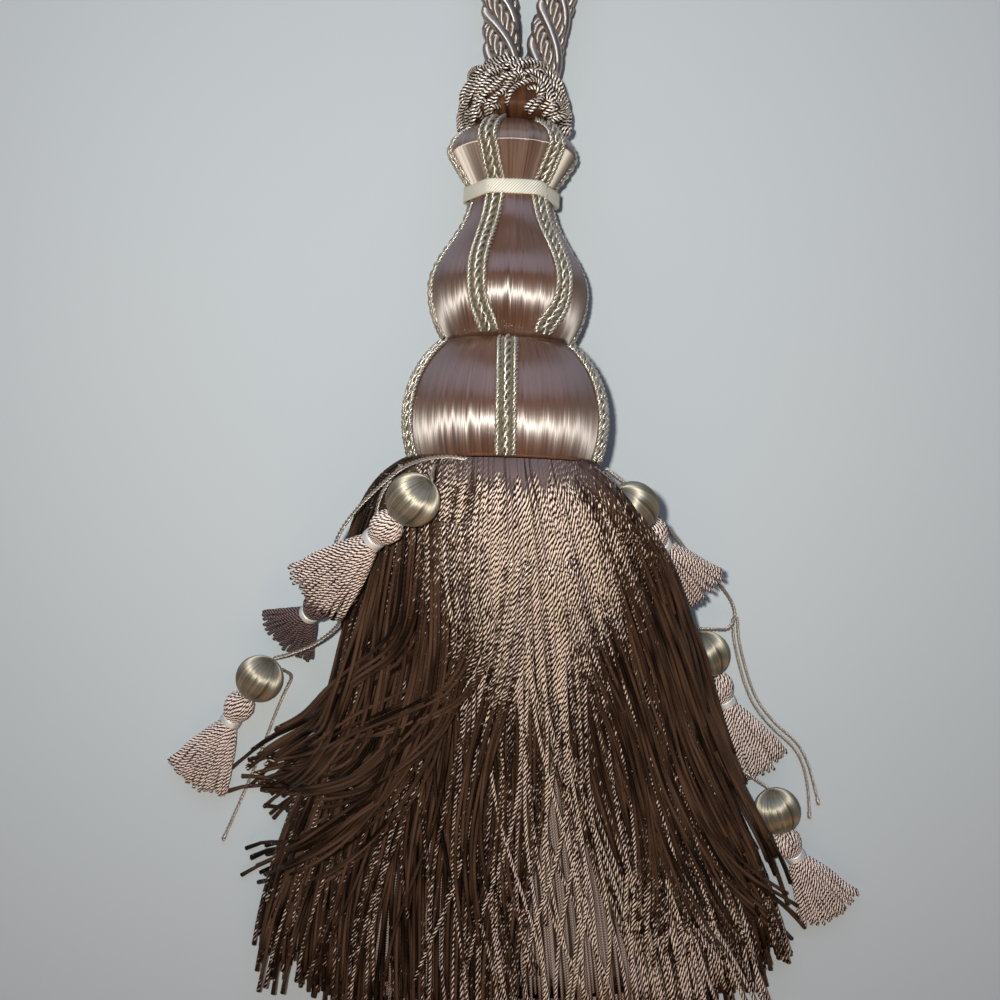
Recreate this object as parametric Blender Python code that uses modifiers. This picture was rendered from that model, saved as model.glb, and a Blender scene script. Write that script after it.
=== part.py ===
"""Curtain tieback tassel, lying on its back on a table.

Three covered moulds carry a flared bullion skirt at the -Y end and a ruff of looped cord at the +Y end,
where the embrace cord goes in.  Six small pendants hang from the rim, three on each side.

The table is the plane z = 0.  The origin is on the small flat spot of the braid under the bulb.  Every size
below is in millimetres; new_piece and new_cord turn them into metres when they make the object.
"""

import math

import bmesh
import bpy
from mathutils import Matrix, Vector

MILLIMETRE = 0.001
GAP = 0.3                    # clearance between neighbouring pieces
TOLERANCE = 0.00001          # for merging and cutting
CURVE_STEPS = 16             # between two points of a route

# The head: turned moulds on one axis, which droops towards the cord until the cap rests on the table too.
HEAD_DROOP = 9.3             # degrees below level, towards the cord
HEAD_YAW = 1.7               # degrees towards +X
BULB_CENTRE = (-0.1, -3.2, 28.3)
TURNED_STEPS = 30

BULB_RADIUS = 26.9
BULB_DOME = 26.0             # reach of the bulb's upper arc, were it closed
BULB_BELLY = 29.0            # the same for its lower arc
BULB_TOP = 20.4              # stations along the head's axis, from the bulb's centre
BULB_RIM = -10.5

PEAR_RADIUS = 20.5
PEAR_WIDEST = 34.6
PEAR_BELLY = 22.2            # reach of the pear's lower arc, were it closed
NECK_RADIUS = 10.9
NECK = 57.6                  # where the pear has narrowed to the neck
CAP_BOTTOM = 60.0
CAP_RIDGE = 70.3
CAP_RADIUS = 16.5
CAP_DOME = 9.3
CAP_TOP = 78.5

BAND_START = 57.8
BAND_END = 61.4
BAND_THICKNESS = 0.8
BAND_CORNER = 0.03           # radians by which its corners reach past a gimp's edges

# The gimps: flat braids of three fine cords laid along the moulds.
GIMP_WIDTH = 5.0
GIMP_THICKNESS = 1.5
GIMP_SEAT = 0.55             # off the mould, so that the braid clears its slopes too
GIMP_MARGIN = 0.8            # how far a braid stops short of a mould's end
LONG_GIMP_BEARINGS = (-82.0, -22.5, 40.0, 100.0, 160.0, 219.0)
BULB_GIMP_BEARINGS = (-124.0, -63.0, 0.0, 63.0, 122.0, 180.0)
GIMP_SECTION = (             # across: -1 to 1 of half the width; rise: 0 to 1 of the thickness
    (-1.0, 0.0), (-0.85, 0.72), (-0.35, 1.0), (0.35, 1.0), (0.85, 0.72), (1.0, 0.0), (0.0, 0.0),
)

# The ruff: one lobed collar.
RUFF_LOBES = 9
RUFF_COLUMNS = 27
RUFF_RINGS = (               # radius, station, how far the lobes swell the ring, how far they drop it
    (11.4, 79.1, 0.00, 0.0),
    (13.1, 77.6, 0.02, 0.3),
    (14.2, 77.7, 0.05, 1.2),
    (14.4, 81.5, 0.06, 0.0),
    (13.7, 86.5, 0.05, 0.0),
    (12.0, 91.0, 0.04, 0.0),
    (8.6, 93.6, 0.02, 0.0),
)
RUFF_BOTTOM = 79.2
RUFF_TOP = 93.9

# The skirt, from the rim of the bulb to the cut ends.
SKIRT_RIM_RADIUS = 24.8
SKIRT_SECTIONS = (           # below the rim, half width, widest part's height, crest, underside, drift to +X
    (0.0, 24.8, 29.6, 54.4, 4.8, 0.0),
    (8.0, 29.5, 28.5, 55.2, 0.6, 0.2),
    (18.0, 35.0, 24.5, 53.0, -3.0, 0.5),
    (40.0, 44.0, 15.5, 45.0, -8.0, 1.0),
    (65.0, 50.5, 9.5, 35.0, -10.0, 1.3),
    (95.0, 61.0, 6.5, 25.0, -10.0, 2.5),
    (125.0, 73.0, 5.0, 17.5, -9.0, 4.0),
    (150.0, 80.0, 4.5, 13.0, -8.0, 5.2),
    (176.0, 84.0, 4.0, 10.5, -7.0, 6.5),
)
SKIRT_ROWS = (0.0, 0.05, 0.12, 0.24, 0.38, 0.53, 0.68, 0.84, 1.0)
SKIRT_LENGTH = 172.0         # along the middle
SKIRT_CORNER_CUT = 30.0      # how much less the sides reach along Y, because the locks fan out
SLOT_ROW = 5                 # the locks part below this row
SKIRT_WALL = 3.4
SKIRT_HEM = 1.8
LOCKS = 14
FIRST_SLOT = 11.25           # bearing of the slot over the front, which is also the wide parting
SLOT_HALF = 0.9              # degrees, at the top of a slot
SLOT_HALF_HEM = 2.0
PARTING_HALF_HEM = 9.5       # the front parting shows the inner skirt
LOCK_ENDS = (0.0, -6.0, 3.0, -3.0, 5.0, -4.0, 1.0, -8.0)    # how much each lock is longer, in turn
LOCK_TIP = 5.0

INNER_CLEARANCE = 0.7        # from the outer skirt's wall
INNER_END = 0.6              # where its teeth end, as a share of the outer skirt's last row
INNER_END_BETWEEN = 0.4

# The pendants.
BEAD_RADIUS = 6.65
TASSEL_HEAD_RADIUS = 4.3
TASSEL_COLUMNS = 12
TASSEL_ROWS = (              # along from the middle of its head, half width and half thickness as shares
    (-3.9, 0.42, 0.42), (-2.2, 0.86, 0.86), (0.0, 1.00, 1.00), (2.4, 0.84, 0.84), (4.0, 0.58, 0.58),
    (6.2, 0.58, 0.58),
)
TASSEL_FAN_ROWS = (          # share of the way to the cut end, half width and half thickness
    (0.20, 4.4, 3.0), (0.55, 6.9, 3.2), (1.00, 9.8, 2.4),
)
TASSEL_TOOTH = 2.2
TASSEL_END_SAG = 2.6         # how much shorter its outer yarns are, because they fan out
WRAP_START = 4.2
WRAP_END = 6.0
WRAP_THICKNESS = 0.7
PENDANTS = (                 # name, bead, heading and dip to the tassel, the tassel's heading, dip, length
    ("a", (-22.5, -20.0, 55.2), 223.0, 25.0, 226.0, 25.0, 33.0),
    ("b", (-48.1, -46.5, 22.3), 205.0, 40.0, 224.0, 35.0, 22.5),
    ("c", (-70.4, -77.5, 6.5), 216.0, 11.5, 211.0, 4.5, 28.5),
    ("d", (31.5, -23.0, 47.6), 142.5, 35.0, 145.0, 29.0, 28.0),
    ("e", (57.5, -70.5, 6.5), 158.0, 11.5, 153.4, 4.5, 30.0),
    ("f", (78.9, -116.9, 6.5), 161.0, 11.5, 147.0, 4.5, 28.5),
)

# The cords.  Each route is a few points set by hand; the tube follows a smooth curve through them.
EMBRACE_RADIUS = 5.25
EMBRACE_ROUTE = (
    (-0.9, 91.0, 13.6), (-1.0, 97.3, 12.0), (-1.3, 104.8, 9.2), (-2.2, 113.8, 6.4), (-4.0, 124.8, 5.4),
    (-8.0, 146.8, 5.3), (-13.0, 174.8, 5.3), (-17.5, 202.8, 5.3), (-20.5, 230.8, 5.3), (-21.5, 258.8, 5.3),
    (-19.0, 284.8, 5.3), (-11.0, 305.8, 5.3), (5.5, 315.3, 5.3), (22.5, 306.3, 5.3), (31.0, 285.8, 5.3),
    (34.0, 258.8, 5.3), (33.5, 230.8, 5.3), (31.0, 202.8, 5.3), (27.5, 174.8, 5.3), (23.0, 146.8, 5.3),
    (18.3, 124.8, 5.4), (15.2, 113.8, 6.4), (12.9, 104.8, 9.2), (11.0, 97.3, 12.0), (10.0, 91.0, 13.6),
)
EMBRACE_POINTS = 38

STRING_RADIUS = 0.55
STRING_ROUTES = {
    "pendant_a_cord": ((-17.4, -12.0, 50.0), (-17.8, -14.0, 54.0), (-17.6, -14.8, 58.6)),
    "pendant_b_cord": (
        (-9.2, -10.2, 54.4), (-14.6, -9.9, 51.6), (-20.4, -11.0, 46.8), (-26.2, -13.8, 41.5),
        (-33.0, -19.5, 36.5), (-40.0, -26.8, 32.0), (-44.6, -34.0, 29.4), (-45.8, -41.6, 26.9),
    ),
    "pendant_c_cord": (
        (-26.6, -13.2, 37.6), (-32.2, -21.5, 33.5), (-35.0, -32.0, 31.2), (-38.5, -43.0, 27.5),
        (-43.0, -54.0, 22.0), (-47.5, -61.0, 16.0), (-53.5, -66.0, 12.5), (-60.0, -69.2, 10.0),
        (-66.0, -71.4, 7.4),
    ),
    "pendant_d_cord": ((22.0, -13.2, 44.5), (24.5, -15.0, 47.5), (27.7, -18.1, 51.9)),
    "pendant_e_cord": (
        (25.6, -14.2, 36.0), (35.0, -22.0, 33.0), (42.5, -30.5, 27.0), (50.0, -39.5, 18.0),
        (59.0, -48.4, 10.0), (64.4, -55.2, 3.8), (66.2, -60.4, 2.0), (64.2, -63.9, 2.8),
        (60.0, -63.4, 5.6), (54.8, -62.9, 7.4),
    ),
    "pendant_f_cord": (
        (24.0, -14.6, 42.0), (29.7, -27.0, 40.5), (34.0, -40.0, 38.0), (39.0, -54.0, 32.0),
        (44.0, -68.0, 26.0), (50.0, -82.0, 20.0), (57.0, -94.0, 14.0), (64.0, -101.5, 10.0),
        (70.5, -106.0, 8.4), (76.5, -110.2, 7.3),
    ),
}
TAIL_RADIUS = 0.5
TAIL_ROUTES = {
    "left_tail": (
        (-63.6, -74.6, 7.6), (-61.9, -78.0, 3.0), (-64.6, -84.0, 0.8), (-68.0, -92.0, 0.6),
        (-72.5, -103.5, 0.6), (-77.5, -115.0, 0.6), (-83.5, -128.3, 0.6),
    ),
    "right_tail_1": (
        (65.9, -61.2, 0.6), (66.5, -68.0, 0.6), (69.0, -78.0, 0.6), (72.4, -86.5, 0.6),
        (77.6, -93.4, 0.6), (84.2, -99.6, 0.6), (87.4, -105.0, 0.6), (89.2, -112.5, 0.6),
        (90.0, -121.5, 0.6),
    ),
    "right_tail_2": (
        (67.3, -61.0, 0.6), (67.9, -67.7, 0.6), (70.4, -77.4, 0.6), (73.7, -85.6, 0.6),
        (78.8, -92.3, 0.6), (85.4, -98.5, 0.6), (88.8, -104.4, 0.6), (90.8, -110.8, 0.6),
        (92.6, -117.4, 0.6),
    ),
}
POINT_SPACING = 3.0          # along a thin cord, in its own diameters
THIN_CORD_POINTS = (6, 20)   # fewest and most
TAIL_POINTS = 13

COLOURS = {                  # colour, roughness
    "satin_floss": ((0.33, 0.22, 0.19), 0.35),
    "gimp_braid": ((0.72, 0.64, 0.50), 0.5),
    "neck_binding": ((0.80, 0.70, 0.60), 0.5),
    "ruff_cord": ((0.40, 0.29, 0.25), 0.5),
    "embrace_yarn": ((0.30, 0.25, 0.24), 0.4),
    "skirt_yarn": ((0.20, 0.13, 0.10), 0.5),
    "inner_yarn": ((0.50, 0.39, 0.33), 0.6),
    "bead_satin": ((0.62, 0.57, 0.48), 0.3),
    "tassel_yarn": ((0.50, 0.33, 0.30), 0.5),
    "wrap_thread": ((0.80, 0.78, 0.72), 0.5),
}


def clear_scene():
    for obj in list(bpy.data.objects):
        bpy.data.objects.remove(obj, do_unlink=True)


def make_collection(name):
    collection = bpy.data.collections.new(name)
    bpy.context.scene.collection.children.link(collection)
    return collection


def finish_for(node, finish):
    """Each node's own Principled BSDF material."""
    colour, roughness = COLOURS[finish]
    material = bpy.data.materials.new(node)
    material.use_nodes = True
    shader = material.node_tree.nodes["Principled BSDF"]
    shader.inputs["Base Color"].default_value = (*colour, 1.0)
    shader.inputs["Roughness"].default_value = roughness
    shader.inputs["Metallic"].default_value = 0.0
    return material


def new_piece(name, bm, finish, parent=None):
    """Turn a bmesh in millimetres into a smooth object in metres."""
    bmesh.ops.recalc_face_normals(bm, faces=bm.faces)
    if bm.calc_volume(signed=True) < 0.0:
        bmesh.ops.reverse_faces(bm, faces=bm.faces)
    bmesh.ops.transform(bm, matrix=Matrix.Scale(MILLIMETRE, 4), verts=bm.verts)
    mesh = bpy.data.meshes.new(name)
    bm.to_mesh(mesh)
    bm.free()
    mesh.shade_smooth()
    obj = bpy.data.objects.new(name, mesh)
    obj.data.materials.append(finish_for(name, finish))
    PARTS.objects.link(obj)
    obj.parent = parent
    return obj


def turned_piece(name, profile, finish, parent, steps=TURNED_STEPS):
    """A profile of (radius, station) pairs, top to bottom, turned about its own Z axis."""
    bm = bmesh.new()
    rings = [bm.verts.new((radius, 0.0, station)) for radius, station in profile]
    for upper, lower in zip(rings, rings[1:]):
        bm.edges.new((upper, lower))
    obj = new_piece(name, bm, finish, parent)
    screw = obj.modifiers.new("turned", "SCREW")
    screw.steps = steps
    screw.render_steps = steps
    screw.use_merge_vertices = True
    screw.merge_threshold = TOLERANCE
    screw.use_smooth_shade = True
    return obj


def loft(rings, close_loop=False):
    """Join rings of equally many points, with flat ends, or round into a loop."""
    bm = bmesh.new()
    rows = [[bm.verts.new(point) for point in ring] for ring in rings]
    pairs = list(zip(rows, rows[1:]))
    if close_loop:
        pairs.append((rows[-1], rows[0]))
    for near, far in pairs:
        for i in range(len(near)):
            j = (i + 1) % len(near)
            bm.faces.new((near[i], near[j], far[j], far[i]))
    if not close_loop:
        bm.faces.new(rows[0])
        bm.faces.new(rows[-1])
    return bm


def cut_at_table(bm, parent):
    """Give a piece its flat spot: remove what would be below the table and close the cut."""
    to_local = parent.matrix_world.inverted() if parent else Matrix.Identity(4)
    point = to_local @ Vector((0.0, 0.0, 0.0))
    normal = to_local.to_3x3() @ Vector((0.0, 0.0, 1.0))
    cut = bmesh.ops.bisect_plane(
        bm, geom=bm.verts[:] + bm.edges[:] + bm.faces[:], dist=TOLERANCE,
        plane_co=point / MILLIMETRE, plane_no=normal, clear_inner=True,
    )
    edges = [item for item in cut["geom_cut"] if isinstance(item, bmesh.types.BMEdge)]
    if edges:
        bmesh.ops.holes_fill(bm, edges=edges)


def smooth_route(route, count):
    """Evenly spaced points on a Catmull-Rom curve through the route's points."""
    points = [Vector(p) for p in route]
    points = [2 * points[0] - points[1], *points, 2 * points[-1] - points[-2]]
    fine = []
    for a, b, c, d in zip(points, points[1:], points[2:], points[3:]):
        for step in range(CURVE_STEPS):
            t = step / CURVE_STEPS
            fine.append(0.5 * (2 * b + (c - a) * t + (2 * a - 5 * b + 4 * c - d) * t ** 2
                               + (3 * b - a - 3 * c + d) * t ** 3))
    fine.append(points[-2])
    lengths = [0.0]
    for a, b in zip(fine, fine[1:]):
        lengths.append(lengths[-1] + (b - a).length)
    even = []
    k = 0
    for i in range(count):
        target = lengths[-1] * i / (count - 1)
        while k < len(fine) - 2 and lengths[k + 1] < target:
            k += 1
        share = (target - lengths[k]) / (lengths[k + 1] - lengths[k])
        even.append(fine[k].lerp(fine[k + 1], min(1.0, share)))
    return even


def new_cord(name, route, count, radius, finish):
    """A round tube with filled ends along a smooth route."""
    curve = bpy.data.curves.new(name, "CURVE")
    curve.dimensions = "3D"
    curve.bevel_depth = radius * MILLIMETRE
    curve.bevel_resolution = 2
    curve.use_fill_caps = True
    curve.resolution_u = 1
    curve.render_resolution_u = 0
    points = smooth_route(route, count)
    spline = curve.splines.new("POLY")
    spline.points.add(len(points) - 1)
    for spline_point, place in zip(spline.points, points):
        spline_point.co = (*(place * MILLIMETRE), 1.0)
    obj = bpy.data.objects.new(name, curve)
    curve.materials.append(finish_for(name, finish))
    PARTS.objects.link(obj)
    return obj


# ---------------------------------------------------------------- the head

def make_head_axis():
    """An empty at the bulb's centre: its Z runs to the cord, and its -Y side faces up."""
    axis = bpy.data.objects.new("head_axis", None)
    axis.location = Vector(BULB_CENTRE) * MILLIMETRE
    axis.rotation_euler = (math.radians(-90.0 - HEAD_DROOP), 0.0, math.radians(-HEAD_YAW))
    PARTS.objects.link(axis)
    bpy.context.view_layer.update()
    return axis


def arc_radius(radius, offset, reach):
    return radius * math.sqrt(1.0 - (offset / reach) ** 2)


def bulb_radius(station):
    return arc_radius(BULB_RADIUS, station, BULB_DOME if station > 0.0 else BULB_BELLY)


def long_radius(station):
    """Radius of the pear and the cap at a station: a belly, a waist-like neck, a ridge and a dome."""
    if station < PEAR_WIDEST:
        return arc_radius(PEAR_RADIUS, station - PEAR_WIDEST, PEAR_BELLY)
    if station < NECK:
        share = 0.5 + 0.5 * math.cos(math.pi * (station - PEAR_WIDEST) / (NECK - PEAR_WIDEST))
        return NECK_RADIUS + (PEAR_RADIUS - NECK_RADIUS) * share
    if station < BAND_END:
        return NECK_RADIUS
    if station < CAP_RIDGE:
        share = (station - BAND_END) / (CAP_RIDGE - BAND_END)
        return NECK_RADIUS + (CAP_RADIUS - NECK_RADIUS) * share
    return arc_radius(CAP_RADIUS, station - CAP_RIDGE, CAP_DOME)


PEAR_BOTTOM = BULB_TOP + GAP
PEAR_TOP = CAP_BOTTOM - GAP
CAP_STATIONS = (CAP_TOP, 76.8, 74.6, 72.0, CAP_RIDGE, BAND_END, CAP_BOTTOM)
PEAR_STATIONS = (PEAR_TOP, NECK, 53.4, 49.2, 44.6, 39.6, PEAR_WIDEST, 29.6, 25.6, 22.4, PEAR_BOTTOM)
BULB_STATIONS = (BULB_TOP, 17.6, 13.8, 9.2, 4.6, 0.0, -5.2, BULB_RIM)


def mould_profile(stations, radius_at):
    """Down the outer side from pole to pole, for a mould with flat ends."""
    sides = [(radius_at(station), station) for station in stations]
    return [(0.0, stations[0]), *sides, (0.0, stations[-1])]


def gimp_strip(name, bearing, stations, radius_at, parent):
    """A braid that follows a mould's outline at one bearing, measured from the front towards +X."""
    rings = []
    for station in stations:
        inner = radius_at(station) + GIMP_SEAT
        half_angle = GIMP_WIDTH / 2 / (inner + GIMP_THICKNESS / 2)
        ring = []
        for across, rise in GIMP_SECTION:
            angle = math.radians(bearing) + across * half_angle
            radius = inner + rise * GIMP_THICKNESS
            ring.append((radius * math.sin(angle), -radius * math.cos(angle), station))
        rings.append(ring)
    bm = loft(rings)
    cut_at_table(bm, parent)
    return new_piece(name, bm, "gimp_braid", parent)


def make_neck_band(parent):
    """A flat binding stretched over the six gimps, so it is six-sided with a rounded corner at each gimp."""
    inner = NECK_RADIUS + GIMP_SEAT + GIMP_THICKNESS + GAP
    half_angle = GIMP_WIDTH / 2 / inner + BAND_CORNER
    rings = []
    for bearing in LONG_GIMP_BEARINGS:
        for side in (-1, 0, 1):
            angle = math.radians(bearing) + side * half_angle
            across = (math.sin(angle), -math.cos(angle))
            ring = []
            for radius, station in ((inner, BAND_START), (inner + BAND_THICKNESS, BAND_START),
                                    (inner + BAND_THICKNESS, BAND_END), (inner, BAND_END)):
                ring.append((radius * across[0], radius * across[1], station))
            rings.append(ring)
    bm = loft(rings, close_loop=True)
    return new_piece("neck_band", bm, "neck_binding", parent)


def make_ruff(parent):
    """The collar of looped cord, as one closed lobed form over the top of the cap."""
    rings = []
    for radius, station, swell, drop in RUFF_RINGS:
        ring = []
        for i in range(RUFF_COLUMNS):
            angle = math.tau * i / RUFF_COLUMNS
            wave = math.cos(RUFF_LOBES * angle)
            reach = radius * (1.0 + swell * wave)
            ring.append((reach * math.sin(angle), -reach * math.cos(angle), station - drop * wave))
        rings.append(ring)
    bm = loft(rings)
    for end_face, station in zip(bm.faces[:][-2:], (RUFF_BOTTOM, RUFF_TOP)):
        pole = bmesh.ops.poke(bm, faces=[end_face])["verts"][0]
        pole.co = (0.0, 0.0, station)
    cut_at_table(bm, parent)
    return new_piece("loop_ruff", bm, "ruff_cord", parent)


def make_head():
    axis = make_head_axis()
    turned_piece("cap_mould", mould_profile(CAP_STATIONS, long_radius), "satin_floss", axis)
    turned_piece("pear_mould", mould_profile(PEAR_STATIONS, long_radius), "satin_floss", axis)
    turned_piece("bulb_mould", mould_profile(BULB_STATIONS, bulb_radius), "satin_floss", axis)
    middle_stations = CAP_STATIONS[1:-1] + PEAR_STATIONS[1:-1]
    long_stations = (CAP_TOP - GIMP_MARGIN, *middle_stations, PEAR_BOTTOM + GIMP_MARGIN)
    bulb_stations = (BULB_TOP - GIMP_MARGIN, *BULB_STATIONS[1:-1], BULB_RIM + GAP)
    for number, bearing in enumerate(LONG_GIMP_BEARINGS, start=1):
        gimp_strip(f"long_gimp_{number}", bearing, long_stations, long_radius, axis)
    for number, bearing in enumerate(BULB_GIMP_BEARINGS, start=1):
        gimp_strip(f"bulb_gimp_{number}", bearing, bulb_stations, bulb_radius, axis)
    make_neck_band(axis)
    make_ruff(axis)
    return axis


# ---------------------------------------------------------------- the skirt

def skirt_row(below):
    """The skirt's section at a distance below the rim, eased between the rows of SKIRT_SECTIONS."""
    for low, high in zip(SKIRT_SECTIONS, SKIRT_SECTIONS[1:]):
        if below <= high[0]:
            break
    share = min(1.0, max(0.0, (below - low[0]) / (high[0] - low[0])))
    return [a + (b - a) * share for a, b in zip(low[1:], high[1:])]


def skirt_point(axis, bearing, share, reach, inset, floor):
    """A point on the skirt's surface: bearing round it from the top, share of the way down a lock.

    inset moves the surface inwards, and nothing comes below floor.
    """
    angle = math.radians(bearing)
    sine, cosine = math.sin(angle), math.cos(angle)
    start_station = BULB_RIM - GAP
    radius = SKIRT_RIM_RADIUS - inset
    rim = axis_point(axis, radius * sine, -radius * cosine, start_station)
    along = reach * share
    half_width, widest, crest, underside, drift = skirt_row(along)
    lift = crest - inset - widest if cosine > 0 else widest - underside - inset
    x = drift + (half_width - inset) * sine
    z = widest + lift * cosine
    blend = min(1.0, along / SKIRT_SECTIONS[1][0])
    x = rim.x + (x - rim.x) * blend
    z = rim.z + (z - rim.z) * blend
    return Vector((x, rim.y - along, max(z, floor)))


def axis_point(axis, x, y, z):
    """A point in the head's own axes, as world millimetres."""
    return (axis.matrix_world @ (Vector((x, y, z)) * MILLIMETRE)) / MILLIMETRE


def lock_reach(bearing, extra):
    """How far a lock at this bearing reaches along Y: less at the sides, because the skirt fans out."""
    return SKIRT_LENGTH - SKIRT_CORNER_CUT * abs(math.sin(math.radians(bearing))) ** 3 + extra


def wall(along):
    """Thickness of the outer skirt, which thins towards its hem."""
    return SKIRT_WALL + (SKIRT_HEM - SKIRT_WALL) * along / SKIRT_LENGTH


def slot_edges(slot, depth):
    """The two bearings of a slot's edges; depth goes from 0 at its top to 1 at the hem."""
    middle = FIRST_SLOT + 360.0 / LOCKS * slot
    hem = PARTING_HALF_HEM if slot == 0 else SLOT_HALF_HEM
    half = SLOT_HALF + (hem - SLOT_HALF) * max(0.0, depth)
    return middle - half, middle + half


def lock_column(lock, side, share):
    """Bearing and reach of one of a lock's three columns (side -1, 0 or 1), a share of the way down."""
    slot_top = SKIRT_ROWS[SLOT_ROW]
    depth = (share - slot_top) / (1.0 - slot_top)
    left = slot_edges(lock, depth)[1]
    right = slot_edges((lock + 1) % LOCKS, depth)[0] + (360.0 if lock + 1 == LOCKS else 0.0)
    bearing = (left + right) / 2 + side * (right - left) / 2
    tip = LOCK_TIP if side == 0 else 0.0
    return bearing, lock_reach(bearing, LOCK_ENDS[lock % len(LOCK_ENDS)] + tip)


def make_outer_skirt(axis):
    """A hollow sleeve of yarn whose lower half is parted into locks: one comb, open at its hem."""
    bm = bmesh.new()
    last = len(SKIRT_ROWS) - 1
    columns = [(lock, side) for lock in range(LOCKS) for side in (-1, 0, 1)]
    skins = []
    for skin in (0, 1):
        grid = []
        for lock, side in columns:
            line = []
            for share in SKIRT_ROWS:
                bearing, reach = lock_column(lock, side, share)
                inset = wall(reach * share) * skin
                line.append(bm.verts.new(skirt_point(axis, bearing, share, reach, inset, inset)))
            grid.append(line)
        skins.append(grid)
    outer, inner = skins
    for i, (_, side) in enumerate(columns):
        j = (i + 1) % len(columns)
        for row in range(last):
            if side == 1 and row >= SLOT_ROW:
                continue
            bm.faces.new((outer[i][row], outer[j][row], outer[j][row + 1], outer[i][row + 1]))
            bm.faces.new((inner[i][row], inner[i][row + 1], inner[j][row + 1], inner[j][row]))
        bm.faces.new((outer[i][0], inner[i][0], inner[j][0], outer[j][0]))
        if side == 1:
            bm.faces.new((outer[i][SLOT_ROW], outer[j][SLOT_ROW], inner[j][SLOT_ROW], inner[i][SLOT_ROW]))
            for row in range(SLOT_ROW, last):
                bm.faces.new((outer[i][row], inner[i][row], inner[i][row + 1], outer[i][row + 1]))
                bm.faces.new((outer[j][row], outer[j][row + 1], inner[j][row + 1], inner[j][row]))
        else:
            bm.faces.new((outer[i][last], outer[j][last], inner[j][last], inner[i][last]))
    return new_piece("outer_skirt", bm, "skirt_yarn")


def inner_point(axis, lock, side, share):
    """A point of the inner skirt's surface, just inside the outer skirt's wall."""
    bearing, reach = lock_column(lock, side, share)
    inset = wall(reach * share) + INNER_CLEARANCE
    return skirt_point(axis, bearing, share, reach, inset, inset)


def make_inner_skirt(axis):
    """The finer skirt inside the sleeve, on the same columns: one solid with a ragged, toothed end."""
    columns = [(lock, side) for lock in range(LOCKS) for side in (-1, 0, 1)]
    rings = [[inner_point(axis, lock, side, share) for lock, side in columns] for share in SKIRT_ROWS[:-1]]
    teeth = []
    for lock, side in columns:
        share = INNER_END if side == 0 else INNER_END_BETWEEN
        above = inner_point(axis, lock, side, SKIRT_ROWS[-2])
        below = inner_point(axis, lock, side, SKIRT_ROWS[-1])
        teeth.append(above.lerp(below, share))
    rings.append(teeth)
    return new_piece("inner_skirt", loft(rings), "inner_yarn")


# ---------------------------------------------------------------- the pendants

def heading_vector(heading, dip):
    """Heading in plan, clockwise from +Y as seen from above, and dip below level, both in degrees."""
    level = math.cos(math.radians(dip))
    turn = math.radians(heading)
    return Vector((level * math.sin(turn), level * math.cos(turn), -math.sin(math.radians(dip))))


def facing(direction):
    """A rotation whose Z runs along direction and whose Y stays as near upright as it can."""
    side = direction.cross(Vector((0.0, 0.0, 1.0))).normalized()
    upright = side.cross(direction)
    return Matrix((side, upright, direction)).transposed().to_4x4()


def make_bead(name, centre, direction):
    bm = bmesh.new()
    bmesh.ops.create_uvsphere(bm, u_segments=12, v_segments=8, radius=BEAD_RADIUS)
    bmesh.ops.transform(bm, matrix=Matrix.Translation(centre) @ facing(direction), verts=bm.verts)
    cut_at_table(bm, None)
    return new_piece(name, bm, "bead_satin")


def make_tassel(name, centre, direction, length):
    """A small tied bundle: a round head, a bound neck and a flat fan of yarn with a toothed end."""
    place = Matrix.Translation(centre) @ facing(direction)
    size = TASSEL_HEAD_RADIUS
    rows = [(along, size * wide, size * thick) for along, wide, thick in TASSEL_ROWS]
    neck_end = rows[-1][0]
    fan_half_width = TASSEL_FAN_ROWS[-1][1]
    rows += [(neck_end + (length - neck_end) * share, wide, thick) for share, wide, thick in TASSEL_FAN_ROWS]
    rings = []
    for along, wide, thick in rows:
        ring = []
        for i in range(TASSEL_COLUMNS):
            angle = math.tau * (i + 0.5) / TASSEL_COLUMNS
            x = wide * math.cos(angle)
            sag = (x / fan_half_width) ** 2 * TASSEL_END_SAG if along > neck_end else 0.0
            tooth = TASSEL_TOOTH * (i % 2) if along == rows[-1][0] else 0.0
            point = place @ Vector((x, thick * math.sin(angle), along - sag - tooth))
            ring.append((point.x, point.y, max(point.z, 0.0)))
        rings.append(ring)
    return new_piece(name, loft(rings), "tassel_yarn")


def make_wrap(name, centre, direction):
    """The thread bound round the tassel's neck: a plain ring."""
    neck = TASSEL_HEAD_RADIUS * TASSEL_ROWS[-1][1]
    inner = neck + GAP
    outer = inner + WRAP_THICKNESS
    place = Matrix.Translation(centre) @ facing(direction)
    rings = []
    for i in range(TASSEL_COLUMNS):
        angle = math.tau * (i + 0.5) / TASSEL_COLUMNS
        across = Vector((math.cos(angle), math.sin(angle), 0.0))
        ring = []
        for radius, along in ((inner, WRAP_START), (outer, WRAP_START), (outer, WRAP_END), (inner, WRAP_END)):
            ring.append(place @ (across * radius + Vector((0.0, 0.0, along))))
        rings.append(ring)
    return new_piece(name, loft(rings, close_loop=True), "wrap_thread")


def make_pendants():
    for letter, bead, bead_heading, bead_dip, heading, dip, length in PENDANTS:
        bead_centre = Vector(bead)
        to_tassel = heading_vector(bead_heading, bead_dip)
        head_centre = bead_centre + to_tassel * (BEAD_RADIUS + TASSEL_HEAD_RADIUS + GAP)
        direction = heading_vector(heading, dip)
        make_bead(f"pendant_{letter}_bead", bead_centre, to_tassel)
        make_tassel(f"pendant_{letter}_tassel", head_centre, direction, length)
        make_wrap(f"pendant_{letter}_wrap", head_centre, direction)


def route_length(route):
    return sum((Vector(b) - Vector(a)).length for a, b in zip(route, route[1:]))


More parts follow.
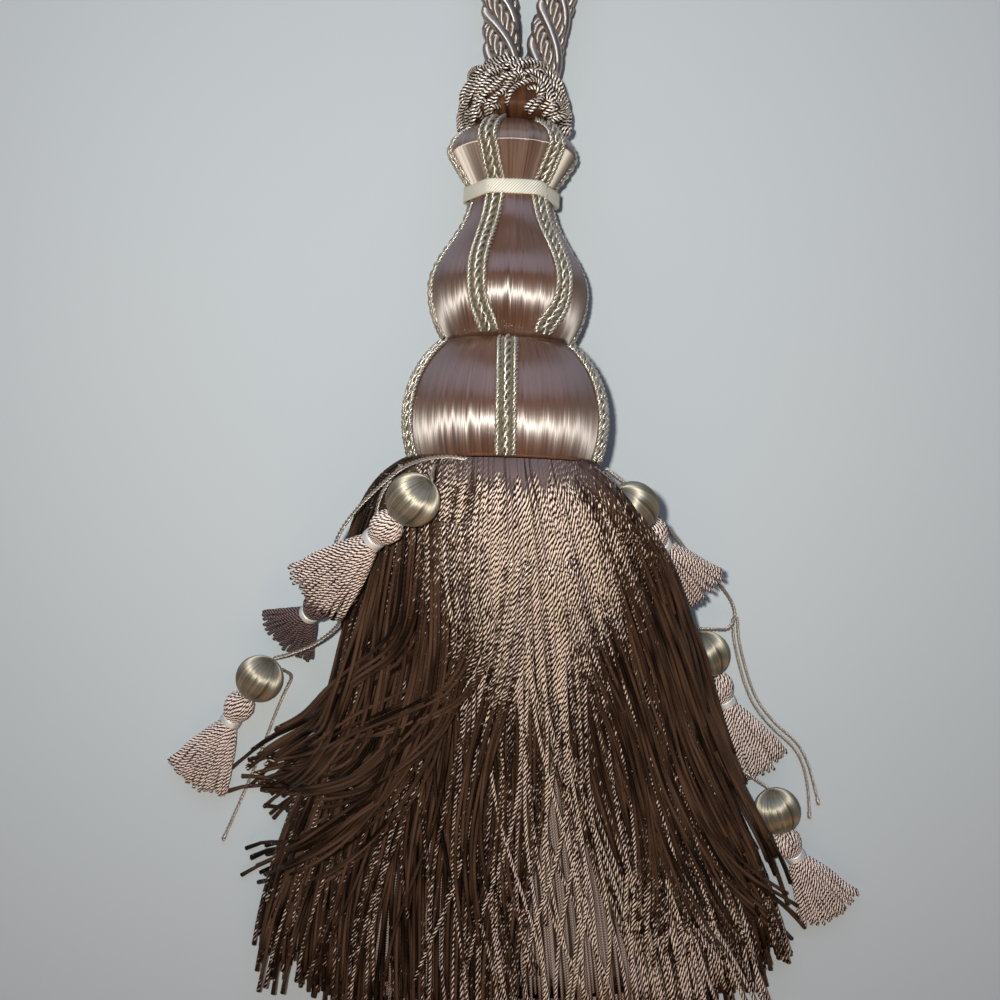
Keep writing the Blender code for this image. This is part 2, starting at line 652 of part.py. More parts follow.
def make_thin_cords():
    for name, route in STRING_ROUTES.items():
        wanted = round(route_length(route) / (POINT_SPACING * 2 * STRING_RADIUS))
        count = min(max(wanted, THIN_CORD_POINTS[0]), THIN_CORD_POINTS[1])
        new_cord(name, route, count, STRING_RADIUS, "embrace_yarn")
    for name, route in TAIL_ROUTES.items():
        new_cord(name, route, TAIL_POINTS, TAIL_RADIUS, "embrace_yarn")


clear_scene()
PARTS = make_collection("curtain_tieback_tassel")
HEAD_AXIS = make_head()
new_cord("embrace_cord", EMBRACE_ROUTE, EMBRACE_POINTS, EMBRACE_RADIUS, "embrace_yarn")
make_outer_skirt(HEAD_AXIS)
make_inner_skirt(HEAD_AXIS)
make_pendants()
make_thin_cords()
bpy.context.view_layer.update()
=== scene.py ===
"""Looks of the curtain tieback tassel: satin moulds, laid gimps, loop ruff, corded skirt and pendants.

Lengths below are in millimetres, in the frame of the CAD model, and become metres as each piece is made.
A yarn is a tube.  Its UV map holds the turn round it in U, plus a whole number of its own, and the
distance along it, in mm, in V.
"""

import math

import bmesh
import bpy
import numpy as np
from mathutils import Euler, Matrix, Vector


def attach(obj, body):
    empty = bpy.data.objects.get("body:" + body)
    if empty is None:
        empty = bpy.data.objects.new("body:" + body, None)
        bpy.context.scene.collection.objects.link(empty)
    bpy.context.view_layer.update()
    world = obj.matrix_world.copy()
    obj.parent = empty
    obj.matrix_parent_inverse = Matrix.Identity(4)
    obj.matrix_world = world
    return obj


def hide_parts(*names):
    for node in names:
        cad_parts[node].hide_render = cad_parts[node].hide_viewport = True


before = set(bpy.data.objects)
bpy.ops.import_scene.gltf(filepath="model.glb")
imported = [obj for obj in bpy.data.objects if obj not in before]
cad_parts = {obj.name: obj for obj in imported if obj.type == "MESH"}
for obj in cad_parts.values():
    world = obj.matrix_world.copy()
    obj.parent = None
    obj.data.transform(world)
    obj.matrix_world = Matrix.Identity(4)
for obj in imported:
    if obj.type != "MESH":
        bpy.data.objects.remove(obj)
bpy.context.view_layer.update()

MILLIMETRE = 0.001
RANDOM = np.random.default_rng(17)
UPRIGHT = np.array((0.0, 0.0, 1.0))
GROUPS = {}
FINISHES = {}

# ---------------------------------------------------------------- sizes shared with the CAD model

HEAD_DROOP = 9.3
HEAD_YAW = 1.7
BULB_CENTRE = (-0.1, -3.2, 28.3)
BULB_RADIUS = 26.9
BULB_DOME = 26.0
BULB_BELLY = 29.0
BULB_TOP = 20.4
BULB_RIM = -10.5
PEAR_RADIUS = 20.5
PEAR_WIDEST = 34.6
PEAR_BELLY = 22.2
PEAR_BOTTOM = 20.7
PEAR_TOP = 59.7
NECK_RADIUS = 10.9
NECK = 57.6
CAP_BOTTOM = 60.0
CAP_RIDGE = 70.3
CAP_RADIUS = 16.5
CAP_DOME = 9.3
CAP_TOP = 78.5
BAND_START = 57.8
BAND_END = 61.4

GIMP_SEAT = 0.55
LONG_GIMP_BEARINGS = (-82.0, -22.5, 40.0, 100.0, 160.0, 219.0)
BULB_GIMP_BEARINGS = (-124.0, -63.0, 0.0, 63.0, 122.0, 180.0)

SKIRT_RIM_RADIUS = 24.8
SKIRT_RIM_STATION = -10.8
SKIRT_SECTIONS = np.array((  # below the rim, half width, widest part's height, crest, underside, drift to +X
    (0.0, 24.8, 29.6, 54.4, 4.8, 0.0),
    (8.0, 29.5, 28.5, 55.2, 0.6, 0.2),
    (18.0, 35.0, 24.5, 53.0, -3.0, 0.5),
    (40.0, 44.0, 15.5, 45.0, -8.0, 1.0),
    (65.0, 50.5, 9.5, 35.0, -10.0, 1.3),
    (95.0, 61.0, 6.5, 25.0, -10.0, 2.5),
    (125.0, 73.0, 5.0, 17.5, -9.0, 4.0),
    (150.0, 80.0, 4.5, 13.0, -8.0, 5.2),
    (176.0, 84.0, 4.0, 10.5, -7.0, 6.5),
))
SKIRT_LENGTH = 172.0
SKIRT_CORNER_CUT = 30.0

BEAD_RADIUS = 6.65
TASSEL_HEAD_RADIUS = 4.3
BEAD_GAP = 0.3
BEAD_LIFT = 13.0             # degrees by which a bead's hole lies more level than the line to its tassel
WRAP_START = 4.2
WRAP_END = 6.0
PENDANTS = (                 # name, bead, heading and dip to the tassel, the tassel's heading, dip, length
    ("a", (-22.5, -20.0, 55.2), 223.0, 25.0, 226.0, 25.0, 33.0),
    ("b", (-48.1, -46.5, 22.3), 205.0, 40.0, 224.0, 35.0, 22.5),
    ("c", (-70.4, -77.5, 6.5), 216.0, 11.5, 211.0, 4.5, 28.5),
    ("d", (31.5, -23.0, 47.6), 142.5, 35.0, 145.0, 29.0, 28.0),
    ("e", (57.5, -70.5, 6.5), 158.0, 11.5, 153.4, 4.5, 30.0),
    ("f", (78.9, -116.9, 6.5), 161.0, 11.5, 147.0, 4.5, 28.5),
)

EMBRACE_ROUTE = (
    (-0.8, 86.5, 14.2), (-0.9, 91, 13.6), (-1, 97.3, 12), (-1.3, 104.8, 9.2), (-2.2, 113.8, 6.4),
    (-4, 124.8, 5.4), (-8, 146.8, 5.3), (-13, 174.8, 5.3), (-17.5, 202.8, 5.3), (-20.5, 230.8, 5.3),
    (-21.5, 258.8, 5.3), (-19, 284.8, 5.3), (-11, 305.8, 5.3), (5.5, 315.3, 5.3), (22.5, 306.3, 5.3),
    (31, 285.8, 5.3), (34, 258.8, 5.3), (33.5, 230.8, 5.3), (31, 202.8, 5.3), (27.5, 174.8, 5.3),
    (23, 146.8, 5.3), (18.3, 124.8, 5.4), (15.2, 113.8, 6.4), (12.9, 104.8, 9.2), (11, 97.3, 12),
    (10, 91, 13.6), (9.2, 86.5, 14.2),
)
STRING_DIAMETER = 1.1
STRING_ROUTES = {
    "pendant_a_cord": ((-17.4, -12, 50), (-17.8, -14, 54), (-17.6, -14.8, 58.6)),
    "pendant_b_cord": (
        (-9.2, -10.2, 54.4), (-14.6, -9.9, 51.6), (-20.4, -11, 46.8), (-26.2, -13.8, 41.5),
        (-33, -19.5, 36.5), (-40, -26.8, 32), (-44.6, -34, 29.4), (-45.8, -41.6, 26.9),
    ),
    "pendant_c_cord": (
        (-26.6, -13.2, 37.6), (-32.2, -21.5, 33.5), (-35, -32, 31.2), (-38.5, -43, 27.5), (-43, -54, 22),
        (-47.5, -61, 16), (-53.5, -66, 12.5), (-60, -69.2, 10), (-66, -71.4, 7.4),
    ),
    "pendant_d_cord": ((22, -13.2, 44.5), (24.5, -15, 47.5), (27.7, -18.1, 51.9)),
    "pendant_e_cord": (
        (25.6, -14.2, 36), (35, -22, 33), (42.5, -30.5, 27), (50, -39.5, 18), (59, -48.4, 10),
        (64.4, -55.2, 3.8), (66.2, -60.4, 2), (64.2, -63.9, 2.8), (60, -63.4, 5.6), (54.8, -62.9, 7.4),
    ),
    "pendant_f_cord": (
        (24, -14.6, 42), (29.7, -27, 40.5), (34, -40, 38), (39, -54, 32), (44, -68, 26), (50, -82, 20),
        (57, -94, 14), (64, -101.5, 10), (70.5, -106, 8.4), (76.5, -110.2, 7.3),
    ),
}
TAIL_DIAMETER = 1.0
TAIL_ROUTES = {
    "left_tail": (
        (-63.6, -74.6, 7.6), (-61.9, -78, 3), (-64.6, -84, 0.8), (-68, -92, 0.6), (-72.5, -103.5, 0.6),
        (-77.5, -115, 0.6), (-83.5, -128.3, 0.6),
    ),
    "right_tail_1": (
        (65.9, -61.2, 0.6), (66.5, -68, 0.6), (69, -78, 0.6), (72.4, -86.5, 0.6), (77.6, -93.4, 0.6),
        (84.2, -99.6, 0.6), (87.4, -105, 0.6), (89.2, -112.5, 0.6), (90, -121.5, 0.6),
    ),
    "right_tail_2": (
        (67.3, -61, 0.6), (67.9, -67.7, 0.6), (70.4, -77.4, 0.6), (73.7, -85.6, 0.6), (78.8, -92.3, 0.6),
        (85.4, -98.5, 0.6), (88.8, -104.4, 0.6), (90.8, -110.8, 0.6), (92.6, -117.4, 0.6),
    ),
}

HEAD = Matrix.Translation(BULB_CENTRE) @ Euler(
    (math.radians(-90.0 - HEAD_DROOP), 0.0, math.radians(-HEAD_YAW))).to_matrix().to_4x4()


# ---------------------------------------------------------------- stage, camera and light

CAMERA_PLACE = (-1.4, 16.8, 355.7)
CAMERA_TILT = -7.0
FLOOR_HALF = 4.0             # metres
FLOOR_GREY = (0.54, 0.585, 0.585)
SOFTBOXES = (                # name, place, spot it is aimed at, width, depth (none: round), watts, colour
    ("key", (-21.0, 32.0, 372.0), (-5.0, 12.0, 0.0), 11.0, 0.0, 1.22, (1.0, 0.985, 0.96)),
    ("cool_side", (0.0, 1310.0, 920.0), (0.0, 0.0, 20.0), 2200.0, 1150.0, 11.0, (0.60, 0.70, 1.0)),
    ("warm_side", (0.0, -1250.0, 850.0), (0.0, 0.0, 20.0), 2000.0, 700.0, 4.2, (1.0, 0.55, 0.30)),
)


def add_object(name, data):
    """A new object in the scene."""
    item = bpy.data.objects.new(name, data)
    bpy.context.scene.collection.objects.link(item)
    return item


def mesh_of(bm, name):
    """The mesh of a finished bmesh."""
    mesh = bpy.data.meshes.new(name)
    bm.to_mesh(mesh)
    bm.free()
    return mesh


def make_camera():
    data = bpy.data.cameras.new("camera")
    data.lens = 45.0
    data.sensor_width = 36.0
    data.clip_start = 0.01
    camera = add_object("camera", data)
    camera.location = Vector(CAMERA_PLACE) * MILLIMETRE
    camera.rotation_euler = (math.radians(CAMERA_TILT), 0.0, 0.0)
    bpy.context.scene.camera = camera


def make_softbox(name, place, aim, width, depth, watts, colour):
    data = bpy.data.lights.new(name, "AREA")
    data.shape = "RECTANGLE" if depth else "DISK"
    data.size = width * MILLIMETRE
    if depth:
        data.size_y = depth * MILLIMETRE
    data.energy = watts
    data.color = colour
    light = add_object(name, data)
    light.location = Vector(place) * MILLIMETRE
    light.rotation_euler = (Vector(aim) - Vector(place)).to_track_quat("-Z", "Y").to_euler()


def make_stage():
    """A pale plain floor, a near key light, and soft cool and warm lights to each side."""
    bm = bmesh.new()
    bmesh.ops.create_grid(bm, x_segments=1, y_segments=1, size=FLOOR_HALF)
    floor = add_object("floor", mesh_of(bm, "floor"))
    plain_finish("floor_paint", FLOOR_GREY, 0.8)
    floor.data.materials.append(FINISHES["floor_paint"])

    for softbox in SOFTBOXES:
        make_softbox(*softbox)
    world = bpy.data.worlds.new("studio")
    world.use_nodes = True
    background = world.node_tree.nodes["Background"]
    feed(world.node_tree, background, {"Color": (0.80, 0.90, 1.0, 1.0), "Strength": 0.02})
    bpy.context.scene.world = world
    bpy.context.scene.view_settings.view_transform = "Standard"


# ---------------------------------------------------------------- nodes and shader groups

def feed(tree, node, inputs):
    """Give a node's inputs their values, or the sockets that feed them."""
    for socket, value in inputs.items():
        if isinstance(value, bpy.types.NodeSocket):
            tree.links.new(value, node.inputs[socket])
        else:
            node.inputs[socket].default_value = value


def add_node(tree, kind, inputs=None, **settings):
    node = tree.nodes.new(kind)
    for name, value in settings.items():
        setattr(node, name, value)
    feed(tree, node, inputs or {})
    return node


def calc(tree, operation, *values):
    """One Math node; returns its output."""
    return add_node(tree, "ShaderNodeMath", dict(enumerate(values)), operation=operation).outputs[0]


def clamp(tree, value):
    """A value kept between 0 and 1."""
    return calc(tree, "MAXIMUM", calc(tree, "MINIMUM", value, 1.0), 0.0)


def vector(tree, operation, inputs):
    """One Vector Math node; returns its first output."""
    return add_node(tree, "ShaderNodeVectorMath", inputs, operation=operation).outputs[0]


def blend(tree, share, first, second):
    """A colour between two others, each given as three numbers or as a socket."""
    first, second = ((*c, 1.0) if isinstance(c, tuple) else c for c in (first, second))
    return add_node(tree, "ShaderNodeMix", {0: share, 6: first, 7: second}, data_type="RGBA").outputs[2]


def noise_at(tree, place, scale=1.0, detail=2.0):
    inputs = {"Vector": place, "Scale": scale, "Detail": detail}
    return add_node(tree, "ShaderNodeTexNoise", inputs).outputs[0]


def object_place(tree):
    return add_node(tree, "ShaderNodeTexCoord").outputs["Object"]


def mapped_place(tree):
    """U and V of a piece's map."""
    place = add_node(tree, "ShaderNodeSeparateXYZ", {0: add_node(tree, "ShaderNodeUVMap").outputs[0]})
    return place.outputs["X"], place.outputs["Y"]


def tangent_round(tree):
    """The direction in which a piece's U rises, round it."""
    return add_node(tree, "ShaderNodeTangent", direction_type="UV_MAP", uv_map="UVMap").outputs[0]


def surface_directions(tree):
    """The surface's normal, and the directions round the piece and along it."""
    tangent = tangent_round(tree)
    normal = add_node(tree, "ShaderNodeNewGeometry").outputs["Normal"]
    return normal, tangent, vector(tree, "CROSS_PRODUCT", {0: normal, 1: tangent})


def lean(tree, parts, total=None):
    """A direction with parts of others added to it: (direction, amount)."""
    for direction, amount in parts:
        part = vector(tree, "SCALE", {0: direction, "Scale": amount})
        total = vector(tree, "ADD", {0: total, 1: part}) if total else part
    return vector(tree, "NORMALIZE", {0: total})


def new_group(name, **inputs):
    """An empty shader group with named inputs at their defaults; returns it with what they put out."""
    group = GROUPS[name] = bpy.data.node_groups.new(name, "ShaderNodeTree")
    for socket_name, default in inputs.items():
        socket = group.interface.new_socket(name=socket_name, in_out="INPUT", socket_type="NodeSocketFloat")
        socket.default_value = default
    return group, group.nodes.new("NodeGroupInput").outputs


def close_group(group, **outputs):
    """Name what a group puts out."""
    for name in outputs:
        kind = "NodeSocketVector" if name == "Normal" else "NodeSocketFloat"
        group.interface.new_socket(name=name, in_out="OUTPUT", socket_type=kind)
    feed(group, group.nodes.new("NodeGroupOutput"), outputs)


def ply_phase(group, given):
    """How many plies one has passed, going round by U and along by V."""
    turn, distance = mapped_place(group)
    turns = calc(group, "DIVIDE", distance, given["Pitch"])
    return calc(group, "MULTIPLY", calc(group, "SUBTRACT", turn, turns), given["Plies"])


def make_rib_group():
    """Ribs wound or laid round a piece: their height, 1 on a crown and 0 in the groove between two."""
    group, given = new_group("ribs", Plies=2.0, Pitch=2.4)
    wave = calc(group, "COSINE", calc(group, "MULTIPLY", ply_phase(group, given), math.pi))
    close_group(group, Height=calc(group, "ABSOLUTE", wave))


CROWN_REACH = 0.42           # by how much full shine widens the painted highlight on a crown
CROWN_EDGE = 0.95
CROWN_SOFTNESS = 0.2


def make_plied_group():
    """Round plies twisted into a yarn: where a painted highlight lies on their crowns, and the normal of
    their relief.

    Slope sets how much they lean along the yarn; Relief 0 leaves the yarn smooth.  Shine 1 has the
    painted highlight over half of each ply, and less narrows it to painted sparks and then to nothing.
    Shift moves the plies along, in plies, for an uneven twist.
    """
    group, given = new_group("plied_yarn", Plies=2.0, Pitch=2.4, Slope=0.3, Relief=0.6, Shine=1.0, Shift=0.0)
    phase = calc(group, "ADD", ply_phase(group, given), given["Shift"])
    off_crown = calc(group, "SUBTRACT", phase, calc(group, "ROUND", phase))
    half_turn = calc(group, "MULTIPLY", off_crown, math.pi)
    angle = calc(group, "MULTIPLY", half_turn, given["Relief"])
    height = calc(group, "COSINE", half_turn)
    bright = calc(group, "MULTIPLY_ADD", given["Shine"], CROWN_REACH, height)
    over = calc(group, "SUBTRACT", bright, CROWN_EDGE)
    normal, tangent, along = surface_directions(group)
    slope = calc(group, "MULTIPLY", given["Slope"], -1.0)
    leaning = calc(group, "MULTIPLY", calc(group, "SINE", calc(group, "MULTIPLY", angle, 2.0)), slope)
    parts = ((normal, calc(group, "COSINE", angle)), (tangent, calc(group, "SINE", angle)), (along, leaning))
    # Crown: where the base colour takes the painted highlight of the crowns
    close_group(group, Crown=clamp(group, calc(group, "DIVIDE", over, CROWN_SOFTNESS)),
                Normal=lean(group, parts))


RIM_FADE = 4.0               # over which a strand's twist begins
BARE_MIDDLE = 3.0
BARE_SPREAD = 17.0           # to either side of the middle


def make_rim_group():
    """1 just under the skirt's rim in front, where the strands are smooth, fading to 0 a little lower."""
    group, given = new_group("under_rim", Depth=8.0)
    place = object_place(group)
    axis = unit(head_points(0.0, 0.0, 1.0) - head_points(0.0, 0.0, 0.0))
    rim = float(np.dot(head_points(0.0, 0.0, SKIRT_RIM_STATION), axis))
    station = add_node(group, "ShaderNodeVectorMath", {0: place, 1: tuple(axis / MILLIMETRE)},
                       operation="DOT_PRODUCT").outputs["Value"]
    ragged = noise_at(group, vector(group, "MULTIPLY", {0: place, 1: (900.0, 90.0, 90.0)}))
    reach = calc(group, "MULTIPLY", ragged, calc(group, "MULTIPLY", given["Depth"], 2.0))
    short = calc(group, "SUBTRACT", reach, calc(group, "SUBTRACT", rim, station))
    share = clamp(group, calc(group, "DIVIDE", short, RIM_FADE))
    across = add_node(group, "ShaderNodeSeparateXYZ", {0: place}).outputs["X"]
    narrow = 1.0 / (BARE_SPREAD * MILLIMETRE)
    off_middle = calc(group, "MULTIPLY_ADD", across, narrow, -BARE_MIDDLE / BARE_SPREAD)
    squared = calc(group, "MULTIPLY", off_middle, off_middle)
    front = calc(group, "EXPONENT", calc(group, "MULTIPLY", squared, -1.0))
    close_group(group, Bare=calc(group, "MULTIPLY", share, front))


def make_fibre_group():
    """Fine threads laid side by side along V: tones of thread and streak, and the normal of their lie."""
    group, given = new_group("laid_threads", Threads=400.0, Drift=0.03, Tilt=0.1, Roll=0.3)
    turn, distance = mapped_place(group)
    across = calc(group, "MULTIPLY", turn, given["Threads"])
    along = calc(group, "MULTIPLY", distance, given["Drift"])
    noises = []
    for shift, spread in ((0.0, 1.0), (7.3, 0.93), (19.1, 0.22)):
        spot = add_node(group, "ShaderNodeCombineXYZ",
                        {0: calc(group, "MULTIPLY", across, spread), 1: along, 2: shift})
        noises.append(calc(group, "MULTIPLY_ADD", noise_at(group, spot.outputs[0], detail=1.0), 2.0, -1.0))
    thread, lie, streak = noises
    normal, tangent, lengthwise = surface_directions(group)
    tilt = calc(group, "MULTIPLY", calc(group, "ADD", lie, streak), given["Tilt"])
    roll = calc(group, "MULTIPLY", thread, given["Roll"])
    close_group(group, Tone=calc(group, "MULTIPLY_ADD", thread, 0.5, 0.5),
                Streak=calc(group, "MULTIPLY_ADD", streak, 0.5, 0.5),
                Normal=lean(group, ((lengthwise, tilt), (tangent, roll)), normal))


# ---------------------------------------------------------------- finishes

WARM_WHITE = (1.0, 0.88, 0.77)
STREAK_SHARE = 0.4           # of broad streaks in a satin's colour, the rest being single threads
SATIN_CONTRAST = (2.4, -0.7)
PATCH_SCALE = 420.0          # of the patches in which an uneven yarn shows less painted highlight


def new_finish(name):
    material = FINISHES[name] = bpy.data.materials.new(name)
    material.use_nodes = True
    return material.node_tree, material.node_tree.nodes["Principled BSDF"]


def add_group(tree, name, **inputs):
    return add_node(tree, "ShaderNodeGroup", inputs, node_tree=GROUPS[name])


def gloss(roughness, metallic, ior, tint):
    return {"Roughness": roughness, "Metallic": metallic, "IOR": ior, "Specular Tint": (*tint, 1.0)}


def plain_finish(name, colour, roughness):
    """Painted board, with a faint unevenness."""
    tree, shader = new_finish(name)
    share = calc(tree, "MULTIPLY_ADD", noise_at(tree, object_place(tree), 9.0, 4.0), 0.5, 0.25)
    darker = tuple(0.93 * channel for channel in colour)
    feed(tree, shader, {"Base Color": blend(tree, share, darker, colour), "Roughness": roughness,
                        "Specular IOR Level": 0.2})


def satin_finish(name, dark, light, threads, tilt, roll, roughness=0.48, metallic=0.0, ior=2.9,
                 tint=(1.0, 0.90, 0.79), spread=1.0):
    """Floss laid side by side: a bright band across the threads, broken into streaks."""
    tree, shader = new_finish(name)
    fibres = add_group(tree, "laid_threads", Threads=threads, Tilt=tilt, Roll=roll).outputs
    single = calc(tree, "MULTIPLY", fibres["Tone"], 1.0 - STREAK_SHARE)
    share = calc(tree, "MULTIPLY_ADD", fibres["Streak"], STREAK_SHARE, single)
    share = calc(tree, "MULTIPLY_ADD", share, *SATIN_CONTRAST)
    feed(tree, shader, {"Base Color": blend(tree, share, dark, light), "Normal": fibres["Normal"],
                        "Tangent": tangent_round(tree), "Anisotropic": spread,
                        **gloss(roughness, metallic, ior, tint)})


def plied_finish(name, groove, crown, plies, pitch, shine, roughness, metallic, uneven=0.0):
    """Yarn twisted from round plies, whose relief is in the finish, with a painted highlight in the crown
    colour on their crowns and painted shade in the groove colour between them; uneven has some of them show
    less of the painted highlight.
    """
    tree, shader = new_finish(name)
    twist = add_group(tree, "plied_yarn", Plies=plies, Pitch=pitch, Shine=shine)
    # groove is painted shade between the plies; crown is the painted highlight on them
    feed(tree, shader, {"Base Color": blend(tree, twist.outputs["Crown"], groove, crown),
                        "Normal": twist.outputs["Normal"], **gloss(roughness, metallic, 1.6, WARM_WHITE)})
    if uneven:
        patches = noise_at(tree, object_place(tree), PATCH_SCALE)
        shine = calc(tree, "MULTIPLY_ADD", patches, 2.0 * uneven, shine - uneven)
        feed(tree, twist, {"Relief": 0.8, "Shine": shine})


STRAND_PLIES = 3.0
STRAND_NOISES = (            # step from strand to strand, and change along one
    (3.71, 0.6), (5.37, 0.08), (2.93, 0.03),
)
STRAND_SHIFT = 3.0           # how many plies the uneven twist moves them
# how much painted highlight, and relief, a strand gets from its painted light and its flicker
SHINE_BY_TONE = 1.45
SHINE_BY_FLICKER = (2.2, -1.70)
RELIEF_BY_TONE = (0.78, 0.12)
HUE_CONTRAST = (4.0, -1.5)
DULL_RANGE = (0.2, 3.1)      # of the dull colour, from the darkest strands to the lightest
CROWN_METAL = 0.15


def skirt_finish(name, groove, pink, gold, dull, bare, pitch):
    """The skirt's three-ply yarn: its sparks are a painted highlight in pink and gold, in proportion to each
    strand's painted light and tint, over a ground that darkens to painted shade as the painted light rises;
    it is smooth at the rim.

    Each strand's own number in the map sets how it flickers, how unevenly it is twisted, and its hue.
    """
    tree, shader = new_finish(name)
    light_and_tint = add_node(tree, "ShaderNodeAttribute", attribute_name="light_and_tint").outputs["Fac"]
    rim = add_group(tree, "under_rim").outputs["Bare"]
    twisted = calc(tree, "SUBTRACT", 1.0, rim)
    place = add_node(tree, "ShaderNodeTexCoord").outputs["UV"]
    mapped = add_node(tree, "ShaderNodeSeparateXYZ", {0: place}).outputs
    number = calc(tree, "FLOOR", mapped["X"])
    noises = []
    for step, change in STRAND_NOISES:
        spot = add_node(tree, "ShaderNodeCombineXYZ", {0: calc(tree, "MULTIPLY", number, step),
                                                       1: calc(tree, "MULTIPLY", mapped["Y"], change)})
        noises.append(noise_at(tree, spot.outputs[0]))
    flicker, uneven, hue = noises
    # the painted sparks widen with the strand's painted light, and at random with its flicker
    shine = calc(tree, "MULTIPLY_ADD", flicker, *SHINE_BY_FLICKER)
    shine = calc(tree, "MULTIPLY_ADD", light_and_tint, SHINE_BY_TONE, shine)
    relief = calc(tree, "MULTIPLY_ADD", light_and_tint, *RELIEF_BY_TONE)
    twist = add_group(tree, "plied_yarn", Plies=STRAND_PLIES, Pitch=pitch,
                      Shine=calc(tree, "MULTIPLY", shine, twisted),
                      Relief=calc(tree, "MULTIPLY", relief, twisted),
                      Shift=calc(tree, "MULTIPLY", uneven, STRAND_SHIFT)).outputs
    # pink and gold are painted highlight colours; the ground goes from the dull colour to the groove's
    # painted shade as the painted light rises
    share = calc(tree, "MULTIPLY_ADD", hue, *HUE_CONTRAST)
    crown = blend(tree, share, pink, gold)
    faint, strong = (tuple(amount * channel for channel in dull) for amount in DULL_RANGE)
    ground = blend(tree, light_and_tint, blend(tree, share, faint, strong), groove)
    shade = blend(tree, twist["Crown"], ground, crown)
    feed(tree, shader, {"Base Color": blend(tree, rim, shade, bare), "Normal": twist["Normal"],
                        **gloss(0.5, calc(tree, "MULTIPLY", twist["Crown"], CROWN_METAL), 1.25, WARM_WHITE)})


def ribbed_finish(name, groove, crown, plies, pitch, depth, roughness=0.42, metallic=0.4, ior=1.6,
                  tint=WARM_WHITE, drawn_out=0.0):
    """Fine ribs, fibres or turns in low relief, painted darker in the groove colour as shade between them;
    drawn_out stretches its highlight along the piece.
    """
    tree, shader = new_finish(name)
    height = add_group(tree, "ribs", Plies=plies, Pitch=pitch).outputs["Height"]
    bump = add_node(tree, "ShaderNodeBump", {"Height": height, "Distance": depth * MILLIMETRE})
    # the groove colour is painted shade between the ribs
    feed(tree, shader, {"Base Color": blend(tree, height, groove, crown), "Normal": bump.outputs[0],
                        **gloss(roughness, metallic, ior, tint)})
    if drawn_out:
        feed(tree, shader, {"Tangent": tangent_round(tree), "Anisotropic": drawn_out,
                            "Anisotropic Rotation": 0.25})


def ply_finish(name, dark, light, roughness=0.40, metallic=0.65):
    """A ply whose own turns are modelled, so that only its fine fibres are left to the finish; dark is
    painted shade between them.
    """
    ribbed_finish(name, dark, light, 7.0, 3.1, 0.05, roughness, metallic)


# ---------------------------------------------------------------- lines, tubes and spun pieces

def finish_piece(name, mesh, finish, nodes):
    """Put a mesh in the scene as a piece that stands for CAD nodes."""
    mesh.shade_smooth()
    mesh.materials.append(FINISHES[finish])
    piece = add_object(name, mesh)
    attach(piece, "root")
    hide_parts(*nodes)
    return piece


def piece_from_bmesh(name, bm, finish, nodes):
    bmesh.ops.transform(bm, matrix=Matrix.Scale(MILLIMETRE, 4), verts=bm.verts)
    return finish_piece(name, mesh_of(bm, name), finish, nodes)


def lengths_along(points):
    steps = np.linalg.norm(np.diff(points, axis=0), axis=1)
    return np.concatenate(([0.0], np.cumsum(steps)))


def resample(points, count):
    """Evenly spaced points along a line."""
    points = np.asarray(points, float)
    travelled = lengths_along(points)
    wanted = np.linspace(0.0, travelled[-1], count)
    return np.column_stack([np.interp(wanted, travelled, points[:, axis]) for axis in range(3)])


def smooth_route(route, step):
    """Points about step apart on a Catmull-Rom curve through a route, as the CAD model has it."""
    points = [np.array(p, float) for p in route]
    points = [2 * points[0] - points[1], *points, 2 * points[-1] - points[-2]]
    t = np.linspace(0.0, 1.0, 16, endpoint=False)[:, None]
    spans = []
    for a, b, c, d in zip(points, points[1:], points[2:], points[3:]):
        spans.append(0.5 * (2 * b + (c - a) * t + (2 * a - 5 * b + 4 * c - d) * t ** 2
                            + (3 * b - a - 3 * c + d) * t ** 3))
    fine = np.vstack([*spans, points[-2][None]])
    return resample(fine, max(3, round(lengths_along(fine)[-1] / step)))


def unit(vectors):
    return vectors / np.linalg.norm(vectors, axis=-1, keepdims=True)


def frame_along(points, upright):
    """Directions to the side of a line and up from it, at each of its points."""
    along = unit(np.gradient(points, axis=0))
    side = unit(np.cross(along, upright))
    return side, np.cross(side, along)


def laid_plies(points, upright, count, lay_radius, pitch, start=0.0):
    """Lines of the plies wound round a route; a positive pitch gives a Z lay, a negative one an S lay."""
    side, up = frame_along(points, upright)
    travelled = lengths_along(points)
    lines = []
    for ply in range(count):
        angle = math.tau * (travelled / pitch + ply / count + start)
        lines.append(points + lay_radius * (np.cos(angle)[:, None] * up + np.sin(angle)[:, None] * side))
    return lines


